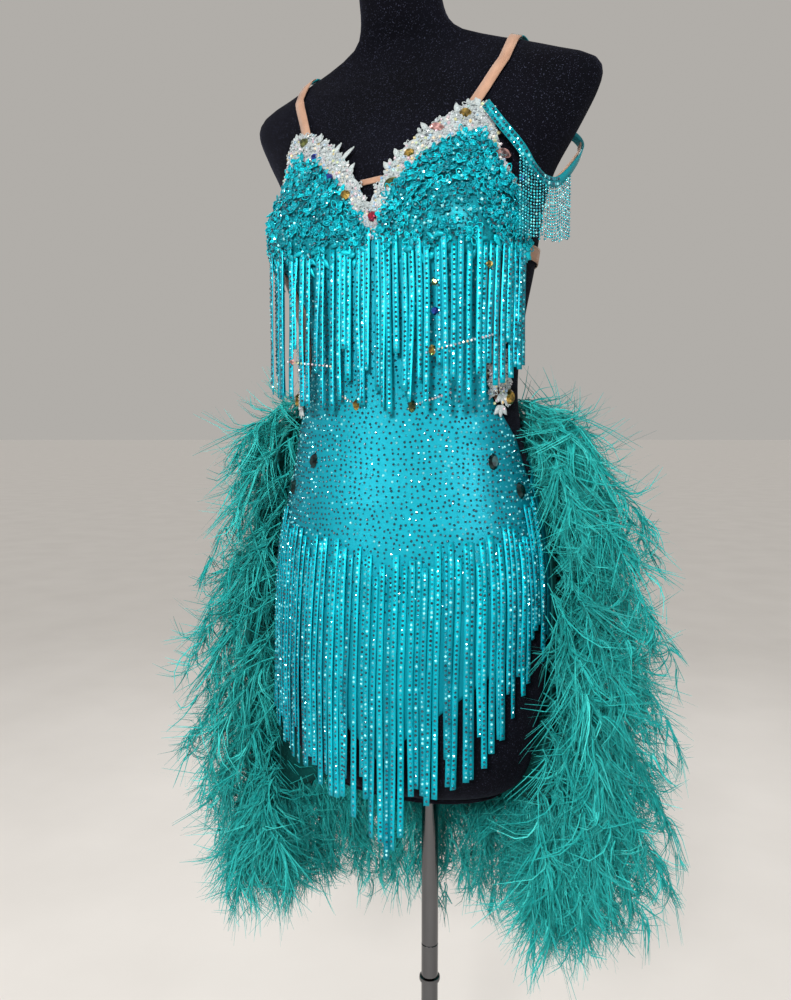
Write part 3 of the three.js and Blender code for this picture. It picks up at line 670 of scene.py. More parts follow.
# The down layer's darker feather colours are painted shade deep inside the plumage.
SHADED_DOWN = feather_material("ostrich_down_painted_shade", [
    (0.0, (0.0, 0.04, 0.04)), (0.5, (0.0, 0.09, 0.085)), (1.0, (0.003, 0.17, 0.16))])
TEAL_STONES = stone_material("teal_stones", TEAL_STONE_STOPS)
CLEAR_STONES = stone_material("clear_stones", CLEAR_STONE_STOPS, 0.35)


def jewel_material(name, colour, dark):
    shader = Shader(name)
    shader.colour(shader.ramp(shader.noise(260, 1), [(0.35, dark), (0.65, colour)]))
    shader.roughness(shader.noise(300, 1), 0.03, 0.1)
    shader.set(Metallic=0.85, Coat_Weight=0.35, Coat_Roughness=0.02)
    return shader.material


# ---- The form and its stand ---------------------------------------------------------------


def loft(soup, rings):
    """A closed body through rings of points, with a fan over each end."""
    rings = np.asarray(rings)
    count, sides = rings.shape[:2]
    soup.add(rings.reshape(-1, 3), tube_faces(count, sides))
    k = np.arange(sides)
    fan = np.stack([k, (k + 1) % sides, np.full(sides, sides)], -1)
    for ring, faces in ((rings[0], fan[:, ::-1]), (rings[-1], fan)):
        soup.add(np.concatenate([ring, ring.mean(0)[None]]), faces)


def form_ring(height, sides, scale=1.0, lift=0.0):
    degrees = np.arange(sides) * 360 / sides
    extents = form_extents(np.full(sides, float(height)))
    fullness = FORM_SHARE_OF_FULLNESS * cup_fullness(degrees, height)
    ring = section_point(extents, degrees, fullness, height)
    centre = np.array([0, extents[3][0], height])
    return centre + (ring - centre) * scale + np.array([0, 0, lift])


FORM_SIDES = 96
# share of the section's size, and rise, of the rings of each end piece
UNDERSIDE_RINGS = [(0.9, -6.3), (0.94, -5.6), (0.95, -4), (0.95, -0.3)]
NECK_CAP_RINGS = [(0.96, 0.3), (0.97, 1.5), (0.97, 4.2), (0.94, 5.8), (0.87, 6.7)]


def make_form_piece(name, rings, node):
    soup = Soup()
    loft(soup, rings)
    make_piece(name, soup, VELVET, [node])


def make_form():
    heights = np.r_[np.linspace(FORM_BOTTOM, 800, 14)[1:-1], np.linspace(800, NECK_TOP, 125)]
    rounded = [form_ring(FORM_BOTTOM, FORM_SIDES, 0.94, 0.0), form_ring(FORM_BOTTOM, FORM_SIDES, 0.985, 0.8)]
    make_form_piece("form_body", rounded + [form_ring(h, FORM_SIDES) for h in heights], "form_torso")
    ends = [("form_underside", FORM_BOTTOM, UNDERSIDE_RINGS, "form_bottom_plate"),
            ("neck_cap", NECK_TOP, NECK_CAP_RINGS, "form_neck_cap")]
    for name, height, rings, node in ends:
        make_form_piece(name, [form_ring(height, FORM_SIDES, scale, rise) for scale, rise in rings], node)


POLE, DISC = 10, 165
LATHE_SIDES = 72
# name, node, and the outline as radius and height, from the bottom up
STAND = [
    ("stand_base", "base_disc", [
        (DISC - 1, 0), (DISC, 0.8), (DISC, 3.6), (DISC - 0.6, 5), (DISC - 4, 7.8), (40, 10.8), (30, 11)]),
    ("stand_flange", "base_flange", [
        (37, 11.3), (38, 11.8), (38, 14.5), (37, 15.4), (20, 19), (16.5, 22), (15, 30), (15, 43), (14, 44),
        (11, 44)]),
    ("stand_pole_lower", "pole_lower", [(POLE, 11.5), (POLE, 477.4), (POLE - 0.3, 477.7)]),
    ("stand_bead", "pole_bead", [
        (10.5, 478), (12.1, 478.8), (12.5, 480.3), (12.5, 482.2), (12.1, 483.7), (10.5, 484.5)]),
    ("stand_coupling", "pole_coupling", [
        (POLE - 0.3, 484.8), (POLE, 485.2), (POLE, 524.2), (POLE - 0.5, 524.7)]),
    ("stand_pole_upper", "pole_upper", [(POLE - 0.5, 525), (POLE, 525.6), (POLE, 749.4)]),
    ("stand_socket", "pole_socket", [
        (15, 725.4), (16, 726.2), (17.5, 744), (23, 746), (24, 746.8), (24, 749)]),
]


def make_stand():
    """Turned pieces, shaded smooth with their sharp edges kept."""
    turn = np.arange(LATHE_SIDES) * 2 * math.pi / LATHE_SIDES
    circle = np.stack([np.cos(turn), np.sin(turn), 0 * turn], -1)
    for name, node, profile in STAND:
        soup = Soup()
        loft(soup, [circle * radius + np.array([0, 0, height]) for radius, height in profile])
        piece = make_piece(name, soup, CHROME, [node])
        piece.modifiers.new("sharp_edges", "EDGE_SPLIT").split_angle = math.radians(35)


# ---- Cloth of the dress -------------------------------------------------------------------


def painted_light_across_front(angle):
    """Painted light and shade: the stretch cloth is painted brightest down the middle of the front, where it
    faces the light, and painted darker towards the sides, where the form turns away from it.
    """
    return np.clip(1.02 - (np.abs(angle) / 78) ** 2.2, 0.12, 1)


def front_panel_bottom(across):
    return 806 + 150 * np.abs(across) ** 0.85


def make_front_panel():
    grid = wall_grid(
        lambda z: -straight_column(FRONT_PANEL_EDGE, z), lambda z: straight_column(FRONT_PANEL_EDGE, z),
        CUP_BOTTOM - 0.4, front_panel_bottom, 81, 90)
    lift = FIRST_LAYER + panel_creases(*grid)
    make_cloth("front_panel_cloth", grid, lift, STRETCH, "front_panel", painted_light_across_front(grid[0]))


# angle, height, length in degrees, depth: soft pulls in the front panel at the waist and hips
CREASES = [
    (-52, 1128, 17, 0.8), (-44, 1101, 14, 0.6), (50, 1132, 16, 0.8), (58, 1108, 12, 0.6),
    (-30, 1172, 15, 0.5), (33, 1181, 13, 0.5), (6, 1192, 20, 0.4),
    (-12, 1058, 18, 0.35), (24, 1040, 16, 0.35),
]


def panel_creases(angle, height):
    total = 0 * angle
    for at_angle, at_height, length, depth in CREASES:
        slope = -0.35 * np.sign(at_angle)
        along = (angle - at_angle) / length
        off = (height - at_height - slope * (angle - at_angle)) / 7.0
        total = total + depth * np.exp(-(along ** 2)) * np.exp(-(off ** 2))
    return total


BACK_PANEL_START = 79.4
BACK_BAND = (1316, 1302)
NET_TOP, NET_BOTTOM = 1080, 700


def make_plain_cloth():
    """Back panel, band, gore, and on each side the mesh, the cup and the net."""
    grid = wall_grid(BACK_PANEL_START, 360 - BACK_PANEL_START,
                     lambda u: 1085 + 45 * (1 - u * u), lambda u: 860 + 70 * u * u, 90, 30)
    ease = 0.3 * np.sin(grid[0] / 7) * np.cos(grid[1] / 31)
    make_cloth("back_panel_cloth", grid, FIRST_LAYER + ease, STRETCH, "back_panel")
    grid = wall_grid(BODICE_HALF_ANGLE + 0.4, 360 - BODICE_HALF_ANGLE - 0.4, *BACK_BAND, 110, 4)
    make_cloth("back_band_elastic", grid, FIRST_LAYER, NUDE, "back_band")
    grid = wall_grid(-4.6, 4.6, lambda u: 1379 + 0.8 * u, lambda u: 1373 + 0.8 * u, 9, 4)
    make_cloth("gore_elastic", grid, FIRST_LAYER, NUDE, "gore_band")
    for side, sign in SIDES:
        grid = wall_grid(
            lambda z: sign * (straight_column(FRONT_PANEL_EDGE, z) + 1.3),
            lambda z: sign * smooth_column(MESH_EDGE, 1, z),
            CUP_BOTTOM - 0.4, lambda u: 1163 + 3 * np.abs(u), 16, 40)
        make_cloth(f"side_mesh_cloth_{side}", grid, FIRST_LAYER, NUDE_MESH, f"side_mesh_{side}")
        span = mirrored(0.2, BODICE_HALF_ANGLE, sign)
        grid = wall_grid(*span, lambda u: cup_edge(between(u, *span)) - 2, CUP_BOTTOM, 42, 34)
        make_cloth(f"cup_cloth_{side}", grid, FIRST_LAYER, STRETCH, f"cup_{side}", 0.8)
        span = (83, 179.8) if sign > 0 else (180.2, 277)
        grid = wall_grid(*span, NET_TOP, NET_BOTTOM, 44, 30)
        make_cloth(f"skirt_net_cloth_{side}", grid, NET_LAYER, NET, f"skirt_net_{side}",
                   start=float(NET_TOP))


# ---- Stones on the front panel ------------------------------------------------------------


def make_panel_stones():
    """Rows of stones: dark and well apart down the middle, closer at the sides, and brighter there with more
    painted glints.
    """
    rng = np.random.default_rng(11)
    angles, heights = [], []
    for i, z in enumerate(np.arange(812, 1298, 5.2)):
        width = float(smooth_column(FORM_SECTIONS, 1, np.array(z)))
        half = float(straight_column(FRONT_PANEL_EDGE, z)) - 1.5
        place = np.arange(-1, 1, 5.9 / (width * math.radians(half))) + (0.02 if i % 2 else 0)
        a = half * np.sign(place) * np.abs(place) ** 0.93
        angles.append(a)
        heights.append(z + 1.8 * np.sin(a / 8 + z / 37))
    angle = np.concatenate(angles)
    angle = angle + rng.normal(0, 0.4, len(angle))
    height = np.concatenate(heights) + rng.normal(0, 0.9, len(angle))
    share = np.abs(angle) / np.maximum(straight_column(FRONT_PANEL_EDGE, height) - 1, 1)
    hidden = height < hip_fringe_start(angle) - 60
    keep = (share < 1) & (height > front_panel_bottom(share) + 3) & (height < 1297) & ~hidden
    angle, height, share = angle[keep], height[keep], share[keep]
    points, normals = on_dress(angle, height, FIRST_LAYER + CLOTH + panel_creases(angle, height) + 0.1)
    # Painted glints: lit stones take bright tones, more often towards the sides.
    lit = rng.uniform(0, 1, len(angle)) < 0.1 + 0.42 * np.clip(share * 1.4 - 0.35, 0, 1)
    tones = np.where(lit, rng.uniform(0.74, 1, len(angle)), rng.uniform(0, 0.6, len(angle)))
    soup = Soup()
    add_stones(soup, points, normals, rng.normal(1.42, 0.12, len(angle)), rng, tones=tones, tilt=0.16)
    make_piece("panel_stones", soup, TEAL_STONES, smooth=False)


# ---- Fringe -------------------------------------------------------------------------------


BUST_FRINGE_TOP = 1314


def bust_fringe_start(angle):
    """The fringe starts under the cups, and higher in the middle, below the V of the neckline."""
    return BUST_FRINGE_TOP + 12 * math.exp(-((angle / 15) ** 2))


def hip_fringe_start(angle):
    return 1008 + 48 * (np.abs(angle) / HIP_HALF_ANGLE) ** 1.6


TAPE_STATIONS, TAPE_THICKNESS, STONE_PITCH = 22, 0.8, 4.5


def add_tape(soup, stones, rng, angle, start, end, width, lift, stoned=True):
    """One hanging tape, which sways and twists a little more towards its free end."""
    stations = TAPE_STATIONS
    s = np.linspace(0, 1, stations)
    height = start + (end - start) * s
    sway = rng.normal(0, 0.9) * s ** 1.5
    sway = sway + rng.normal(0, 0.25) * np.sin(s * rng.uniform(4, 9) + rng.uniform(0, 6))
    out = lift + np.abs(rng.normal(0, 0.8)) * s + 0.35 * np.sin(s * rng.uniform(5, 11) + rng.uniform(0, 6))
    centres, normal = hung_on_dress(angle + sway * 0.55, height, np.full(stations, start), out)
    twist = np.radians(rng.normal(0, 9) * s + rng.normal(0, 14) * s ** 3)
    side = unit(np.cross(np.tile([0.0, 0, 1], (stations, 1)), normal))
    across = side * np.cos(twist)[:, None] + normal * np.sin(twist)[:, None]
    facing = unit(np.cross(across, np.tile([0.0, 0, 1], (stations, 1))))
    facing *= np.sign((facing * normal).sum(-1, keepdims=True))
    # Each tape takes a random tone, darkened towards the sides of the dress as painted shade, where the dress
    # turns from the light.
    tone = np.clip(rng.normal(0.62, 0.2) - 0.2 * (abs(angle) / 76) ** 2, 0.05, 1)
    tones = np.clip(tone + 0.34 * (1 - s) ** 4, 0, 1)
    tones = np.tile(np.repeat(tones, 2), 2)
    add_ribbon(soup, centres, across, facing, np.full(stations, width), TAPE_THICKNESS, tones)
    if stoned:
        share = (start - np.arange(start - 3, end + 1.5, -STONE_PITCH)) / (start - end)
        out = read_off(share, s, facing)
        stones.append((read_off(share, s, centres) + out * 0.85, unit(out)))


# how much of its raggedness a tape's end takes, and how often
RAGGED_STEPS, RAGGED_ODDS = [0, 0.15, 0.5, 0.9, 1.3], [0.3, 0.25, 0.2, 0.15, 0.1]


def make_fringe(name, angles, start_of, uneven, ends, ragged, width, seed):
    """A row of tapes in two layers, with their stones. Gives both pieces and the row's flat size."""
    rng = np.random.default_rng(seed)
    soup, stones, area, longest = Soup(), [], 0.0, 0.0
    for i, angle in enumerate(angles):
        angle = angle + rng.uniform(-0.7, 0.7)
        start = float(start_of(angle)) + rng.uniform(-uneven, uneven)
        end = float(straight_column(ends, angle)) + ragged * rng.choice(RAGGED_STEPS, p=RAGGED_ODDS)
        end += rng.normal(0, 2)
        layer = FRINGE_LAYER[name] + (0.9 if i % 2 else 0.0)
        tape_width = width * rng.normal(1, 0.05)
        add_tape(soup, stones, rng, angle, start, end, tape_width, layer)
        area += (start - end) * tape_width
        longest = max(longest, start - end)
    tapes = make_piece(f"{name}_tapes", soup, TAPE,
                       [f"{name}_{part}" for part in ("left", "centre", "right")])
    centres, normals = (np.concatenate(values) for values in zip(*stones))
    glint = rng.uniform(0, 1, len(centres))
    tones = np.where(glint > 0.55, rng.uniform(0.7, 0.9, len(centres)), glint)
    tones = np.where(glint > 0.92, 1.0, tones)
    soup = Soup()
    add_stones(soup, centres, normals, rng.normal(1.55, 0.1, len(centres)), rng, tones=tones, tilt=0.2)
    gems = make_piece(f"{name}_stones", soup, TEAL_STONES, smooth=False)
    return tapes, gems, area, longest, len(angles) * width


FRINGE_LAYER = {"bust_fringe": SECOND_LAYER + 0.7, "hip_fringe": SECOND_LAYER - 0.2}


def make_fringes():
    bust = np.arange(-63, 67, 2.95)
    hip = np.arange(-HIP_HALF_ANGLE + 1, HIP_HALF_ANGLE - 1, 2.62)
    rows = [
        make_fringe("bust_fringe", bust, bust_fringe_start, 9, BUST_FRINGE_ENDS, 42, 5.6, 21),
        make_fringe("hip_fringe", hip, hip_fringe_start, 17, HIP_FRINGE_ENDS, 38, 5.9, 22),
    ]
    soup = Soup()
    add_tape(soup, [], np.random.default_rng(23), -67.5, 1299.0, 1207.0, 9.0, SECOND_LAYER, stoned=False)
    make_piece("plain_tape", soup, TAPE, ["plain_ribbon"])
    return rows


# ---- Guipure lace on the cups -------------------------------------------------------------

PETAL_STEPS = 8


def add_cords(soup, paths, radius, tones, sides=3):
    """Cords along many paths at once: paths is (copies, steps, 3), closed into loops."""
    copies, steps = paths.shape[:2]
    along = unit(np.roll(paths, -1, 1) - np.roll(paths, 1, 1))
    out = unit(paths - paths.mean(1, keepdims=True))
    up = unit(np.cross(along, out))
    turn = (np.arange(sides) * 2 * math.pi / sides)[None, None, :, None]
    points = paths[:, :, None] + (np.cos(turn) * out[:, :, None] + np.sin(turn) * up[:, :, None]) * radius
    soup.add_many(points.reshape(copies, -1, 3), tube_faces(steps, sides, closed=True), tones)


def add_petals(soup, paths, tones):
    """A thin domed skin inside each loop, closed by its underside."""
    copies, steps = paths.shape[:2]
    middle = paths.mean(1, keepdims=True)
    dome = unit(np.cross(paths[:, 2:3] - middle, paths[:, 4:5] - middle)) * 0.5
    points = np.concatenate([paths, middle + dome, middle - dome], 1)
    k = np.arange(steps)
    after = (k + 1) % steps
    over = np.stack([k, after, np.full(steps, steps)], -1)
    under = np.stack([after, k, np.full(steps, steps + 1)], -1)
    soup.add_many(points, np.concatenate([over, under]), tones)


def add_florets(soup, gems, centres, normals, sizes, rng, petals=5, cord=0.68):
    """Raised lace flowers: petals are loops of cord round a stone."""
    count = len(centres)
    base = rng.uniform(0, 2 * math.pi, count)
    normals = unit(normals + rng.normal(0, 0.16, normals.shape))
    tones = np.clip(rng.normal(0.62, 0.2, count), 0, 1)
    loop = np.arange(PETAL_STEPS) * 2 * math.pi / PETAL_STEPS
    for k in range(petals):
        turn = base + k * 2 * math.pi / petals + rng.normal(0, 0.12, count)
        a, b = side_vectors(normals, turn)
        reach = sizes * rng.uniform(0.85, 1.15, count)
        x = (0.56 + 0.44 * np.cos(loop))[None, :] * reach[:, None]
        y = (0.3 * np.sin(loop))[None, :] * reach[:, None]
        z = (0.16 + 0.26 * (x / reach[:, None]) ** 2) * reach[:, None] * rng.uniform(0.4, 1.3, count)[:, None]
        paths = centres[:, None] + a[:, None] * x[..., None] + b[:, None] * y[..., None]
        paths = paths + normals[:, None] * z[..., None]
        shade = np.clip(tones + rng.normal(0, 0.12, count), 0, 1)
        add_cords(soup, paths, cord, shade)
        if k % 2 == 0:
            add_petals(soup, paths, shade * 0.8)
    gems.append((centres + normals * sizes[:, None] * 0.22, normals))


def scatter(rng, inside, count, spread):
    """Seeded points that keep apart: dart throwing over the dress in angle and height."""
    found = np.zeros((0, 2))
    scale = np.array([2.4, 1.0])
    for _ in range(60):
        candidates = inside(rng)
        for point in candidates:
            if len(found) == 0 or (np.hypot(*((found - point) * scale).T) > spread).all():
                found = np.vstack([found, point])
            if len(found) >= count:
                return found
    return found


def edge_lace_bottom(angle):
    return cup_edge(angle) - straight_column(EDGE_LACE_DEPTH, np.abs(angle))


def cup_lace_region(sign):
    """Draws places on a cup's lace, which ends below in uneven scallops."""
    def inside(rng):
        angle = rng.uniform(2.5, BODICE_HALF_ANGLE + 1, 400)
        top = edge_lace_bottom(angle) - 3
        scallops = 9 * np.sin(angle * 0.31 + sign) * np.sin(angle * 0.13 + 2)
        bottom = 1313 + scallops - 12 * np.clip((angle - 58) / 18, 0, 1)
        height = bottom + (top - bottom) * rng.uniform(0, 1, 400)
        ok = top > bottom + 2
        return np.stack([sign * angle[ok], height[ok]], -1)
    return inside


def make_cup_ground(side, sign, rng):
    span = mirrored(3, BODICE_HALF_ANGLE, sign)
    angle, height = wall_grid(
        *span, lambda u: edge_lace_bottom(between(u, *span)) - 1.4,
        lambda u: CUP_BOTTOM + 2 - 3 * np.abs(np.sin(between(u, *span) / 5)), 46, 30)
    ripple = 0.5 * np.sin(angle * 1.1 + height / 6) * np.sin(height / 5 - angle)
    # Painted shade: the ground takes dark tones, as the shade between the raised florets on it.
    make_cloth(f"cup_lace_ground_{side}", (angle, height), SECOND_LAYER - 1.0 + ripple, GUIPURE,
               f"cup_lace_{side}", 0.02 + 0.3 * rng.random(angle.shape))


def make_cup_florets(side, sign, rng):
    """Lace flowers all over a cup and leaves at its edges. Gives where their stones sit."""
    soup, gems = Soup(), []
    spots = scatter(rng, cup_lace_region(sign), 135, 8.2)
    points, normals = on_dress(spots[:, 0], spots[:, 1], SECOND_LAYER + rng.uniform(0.2, 3.2, len(spots)))
    add_florets(soup, gems, points, normals, rng.uniform(5.4, 8.8, len(spots)), rng)
    for _ in range(26):
        a = rng.uniform(4, 78)
        z = 1312 + rng.uniform(-12, 7) if a < 68 else rng.uniform(1290, 1345)
        centre, normal = dress_place(sign * a, z, SECOND_LAYER + 3.0)
        lean = rng.uniform(-0.9, 0.9) if a < 68 else 1.0
        turn = math.radians(a)
        drop = np.array([math.cos(turn) * sign * lean, math.sin(turn) * abs(lean), rng.uniform(-1, 0.1)])
        add_leaf(soup, centre, normal, drop, rng.uniform(8, 14), rng.uniform(3.5, 5.5), rng.uniform(0.3, 0.9))
    make_piece(f"cup_florets_{side}", soup, GUIPURE)
    return gems[0]


def make_cup_lace():
    for seed, (side, sign) in zip((31, 32), SIDES):
        rng = np.random.default_rng(seed)
        make_cup_ground(side, sign, rng)
        centres, faces = make_cup_florets(side, sign, rng)
        extra = scatter(rng, cup_lace_region(sign), 620, 3.3)
        lifts = SECOND_LAYER + rng.uniform(1.0, 4.6, len(extra))
        more, more_faces = on_dress(extra[:, 0], extra[:, 1], lifts)
        soup, count = Soup(), len(centres) + len(more)
        sizes = np.r_[np.full(len(centres), 1.9), rng.uniform(1.1, 1.6, len(more))]
        # The brighter tones are painted glints.
        tones = rng.choice([0.1, 0.35, 0.6, 0.75, 0.95], count)
        add_stones(soup, np.vstack([centres, more]), np.vstack([faces, more_faces]), sizes, rng,
                   tones=tones, tilt=0.35)
        make_piece(f"cup_lace_stones_{side}", soup, TEAL_STONES, smooth=False)


# ---- Crystal lace -------------------------------------------------------------------------


def add_leaf(soup, centre, normal, direction, length, width, tone=0.5, lift=0.0):
    """A pointed leaf with a raised rib, as a closed thin body."""
    steps = 7
    s = np.linspace(0, 1, steps)
    direction = unit(direction - normal * (direction @ normal))
    side = np.cross(normal, direction)
    half = width / 2 * np.sin(math.pi * s ** 0.75) ** 0.8 + 0.15
    spine = centre + direction * (s * length)[:, None] + normal * (lift + 0.8 * np.sin(math.pi * s))[:, None]
    rows = np.stack([spine - side * half[:, None], spine + normal * 0.7, spine + side * half[:, None]], 1)
    points = np.concatenate([(rows - normal * 0.4).reshape(-1, 3), (rows + normal * 0.4).reshape(-1, 3)])
    soup.add(points, shell_faces(steps, 3), tone)


# angle on the cup, sideways lean, length: the larger leaves that stand up off the neckline
LEAF_SPRIGS = {
    "right": [(13, 0.9, 19), (16, 0.4, 13), (9, 0.5, 11), (35, -0.4, 11), (24, 0.2, 10)],
    "left": [(8, -0.7, 12), (11, -0.5, 12), (19, -0.8, 13), (27, -0.2, 11), (34, -0.5, 11)],
}
NECK_LACE_SPAN, ARMHOLE_LACE_SPAN = (0.4, 43.8), (44.2, BODICE_HALF_ANGLE)
EDGE_LACE_THICKNESS = 1.6


def notch(angle):
    """How deep the lace's edge is cut in."""
    return 2.2 * np.abs(np.sin(np.abs(angle) * 0.95)) + 1.4 * np.abs(np.sin(np.abs(angle) * 2.3 + 1))


def make_neck_lace(side, sign, rng):
    """The neckline: a notched band with leaves along its upper edge."""
    soup = Soup()
    span = mirrored(*NECK_LACE_SPAN, sign)
    grid = wall_grid(
        *span, lambda u: cup_edge(between(u, *span)) - 2.5 + notch(between(u, *span)),
        lambda u: edge_lace_bottom(between(u, *span)) + 1.2 - notch(between(u, *span) * 1.3), 120, 12)
    add_wall(soup, *grid, SECOND_LAYER, EDGE_LACE_THICKNESS, 0.5)
    rows = np.array([(a, d) for a in np.arange(1.5, 43, 3.1) for d in (1.0, 8.5, 16.0, 23.0)])
    rows = rows + rng.normal(0, 0.7, rows.shape)
    rows = rows[rows[:, 1] < straight_column(EDGE_LACE_DEPTH, rows[:, 0]) - 2]
    heights = cup_edge(rows[:, 0]) - rows[:, 1]
    points, normals = on_dress(sign * rows[:, 0], heights, np.full(len(rows), SECOND_LAYER + 1.2))
    rings = Soup()
    add_florets(rings, [], points, normals, rng.uniform(3.4, 5.2, len(rows)), rng, 5, 0.55)
    make_piece(f"neck_lace_rings_{side}", rings, LACE)
    for a, lean, length in LEAF_SPRIGS[side]:
        centre, normal = dress_place(sign * a, float(cup_edge(a)) - 5.0, SECOND_LAYER + 1.6)
        add_leaf(soup, centre, normal, np.array([lean, 0.0, 1.0]), length, 5.2)
    make_piece(f"neck_lace_ground_{side}", soup, LACE, [f"neck_lace_{side}"])


def make_armhole_lace(side, sign):
    soup = Soup()
    span = mirrored(*ARMHOLE_LACE_SPAN, sign)
    grid = wall_grid(
        *span, lambda u: cup_edge(between(u, *span)) - 1 + notch(between(u, *span)) * 0.4,
        lambda u: edge_lace_bottom(between(u, *span)) + 0.5, 60, 5)
    add_wall(soup, *grid, SECOND_LAYER, EDGE_LACE_THICKNESS, 0.5)
    make_piece(f"armhole_lace_ground_{side}", soup, LACE, [f"armhole_lace_{side}"])


WAIST_LACE_ANGLE, WAIST_LACE_HEIGHT = 60.5, 1190


def make_waist_applique(side, sign, rng):
    """A spray of leaves on the mesh at the waist, with rings of cord over it."""
    soup = Soup()
    centre_angle = sign * WAIST_LACE_ANGLE
    centre, normal = dress_place(centre_angle, WAIST_LACE_HEIGHT, SECOND_LAYER + 0.4)
    a, b = (vector[0] for vector in side_vectors(normal[None], np.array([0.0])))
    for k in range(9):
        turn = k * 2 * math.pi / 9 + rng.normal(0, 0.15)
        size = rng.uniform(14, 22) * (1.2 if abs(math.sin(turn)) > 0.7 else 0.8)
        direction = a * math.cos(turn) * 0.8 + b * math.sin(turn)
        add_leaf(soup, centre + direction * 2, normal, direction, size, 6.5)
    for rise in (-30, -18, 16, 29):
        angle, height = centre_angle + rng.normal(0, 2), WAIST_LACE_HEIGHT + rise
        centre, normal = dress_place(angle, height, SECOND_LAYER + 0.6)
        a, b = (vector[0] for vector in side_vectors(normal[None], np.array([0.0])))
        for lean in (-0.8, 0.0, 0.8):
            add_leaf(soup, centre, normal, b * np.sign(rise) + a * lean, 12, 6)
    rows = np.stack([centre_angle + rng.uniform(-7, 7, 26), WAIST_LACE_HEIGHT + rng.uniform(-30, 30, 26)], -1)
    points, normals = on_dress(rows[:, 0], rows[:, 1], np.full(26, SECOND_LAYER + 1.0))
    rings = Soup()
    add_florets(rings, [], points, normals, rng.uniform(3, 4.6, 26), rng, 5, 0.5)
    make_piece(f"waist_lace_rings_{side}", rings, LACE)
    make_piece(f"waist_applique_lace_{side}", soup, LACE, [f"waist_applique_{side}"])


def make_neck_crystals(side, sign, rng):
    """Clear stones in close rows over all of the neckline and armhole lace."""
    angles, heights = [], []
    for a in np.arange(0.6, BODICE_HALF_ANGLE, 1.55):
        top, bottom = float(cup_edge(a)), float(edge_lace_bottom(a))
        rows = np.arange(top - 1.5, bottom, -3.9)
        angles += [a + rng.normal(0, 0.25)] * len(rows)
        heights += list(rows + rng.normal(0, 0.6, len(rows)) + (1.9 if int(a / 1.55) % 2 else 0))
    angles, heights = np.array(angles) * sign, np.array(heights)
    points, normals = on_dress(angles, heights, np.full(len(angles), SECOND_LAYER + 1.7))
    soup = Soup()
    add_stones(soup, points, normals, rng.uniform(1.1, 2.1, len(points)), rng, tilt=0.22, rise=0.7)
    make_piece(f"neck_crystals_{side}", soup, CLEAR_STONES, smooth=False)


def make_edge_lace():
    for seed, (side, sign) in zip((41, 42), SIDES):
        rng = np.random.default_rng(seed)
        make_neck_lace(side, sign, rng)
        make_armhole_lace(side, sign)
        make_waist_applique(side, sign, rng)
        make_neck_crystals(side, sign, rng)


def make_waist_crystals():
    rng = np.random.default_rng(51)
    soup = Soup()
    for sign in (1, -1):
        angle = sign * (WAIST_LACE_ANGLE + rng.normal(0, 4.6, 120))
        height = WAIST_LACE_HEIGHT + rng.normal(0, 17, 120)
        keep = (np.abs(np.abs(angle) - WAIST_LACE_ANGLE) < 9.5) & (np.abs(height - WAIST_LACE_HEIGHT) < 34)
        points, normals = on_dress(angle[keep], height[keep], np.full(keep.sum(), SECOND_LAYER + 1.9))
        add_stones(soup, points, normals, rng.uniform(1.1, 2.0, keep.sum()), rng, tilt=0.2, rise=0.7)
    for a0, z0, a1, z1 in CRYSTAL_LINES:
        count = int(max(abs(a1 - a0) * 2.3, abs(z1 - z0)) / 3.0)
        s = np.linspace(0, 1, count)
        angle, height = a0 + (a1 - a0) * s, z0 + (z1 - z0) * s
        if z0 > FRINGE_TOP_LINE:
            start, lift = np.full(count, float(BUST_FRINGE_TOP)), np.full(count, FEATURE_LIFT["fringe"])
            points, normals = hung_on_dress(angle, height, start, lift)
        else:
            points, normals = on_dress(angle, height, np.full(count, 3.2))
        add_stones(soup, points, normals, 1.45, rng, tilt=0.2, rise=0.7)
    make_piece("waist_crystals", soup, CLEAR_STONES, smooth=False)


# dress angle and height at each end of the slanting lines of crystals
CRYSTAL_LINES = [(14, 1160, 32, 1172), (-15, 1161, -26, 1173), (22, 1208, 46, 1224), (-18, 1199, -36, 1205)]
FRINGE_TOP_LINE = 1180

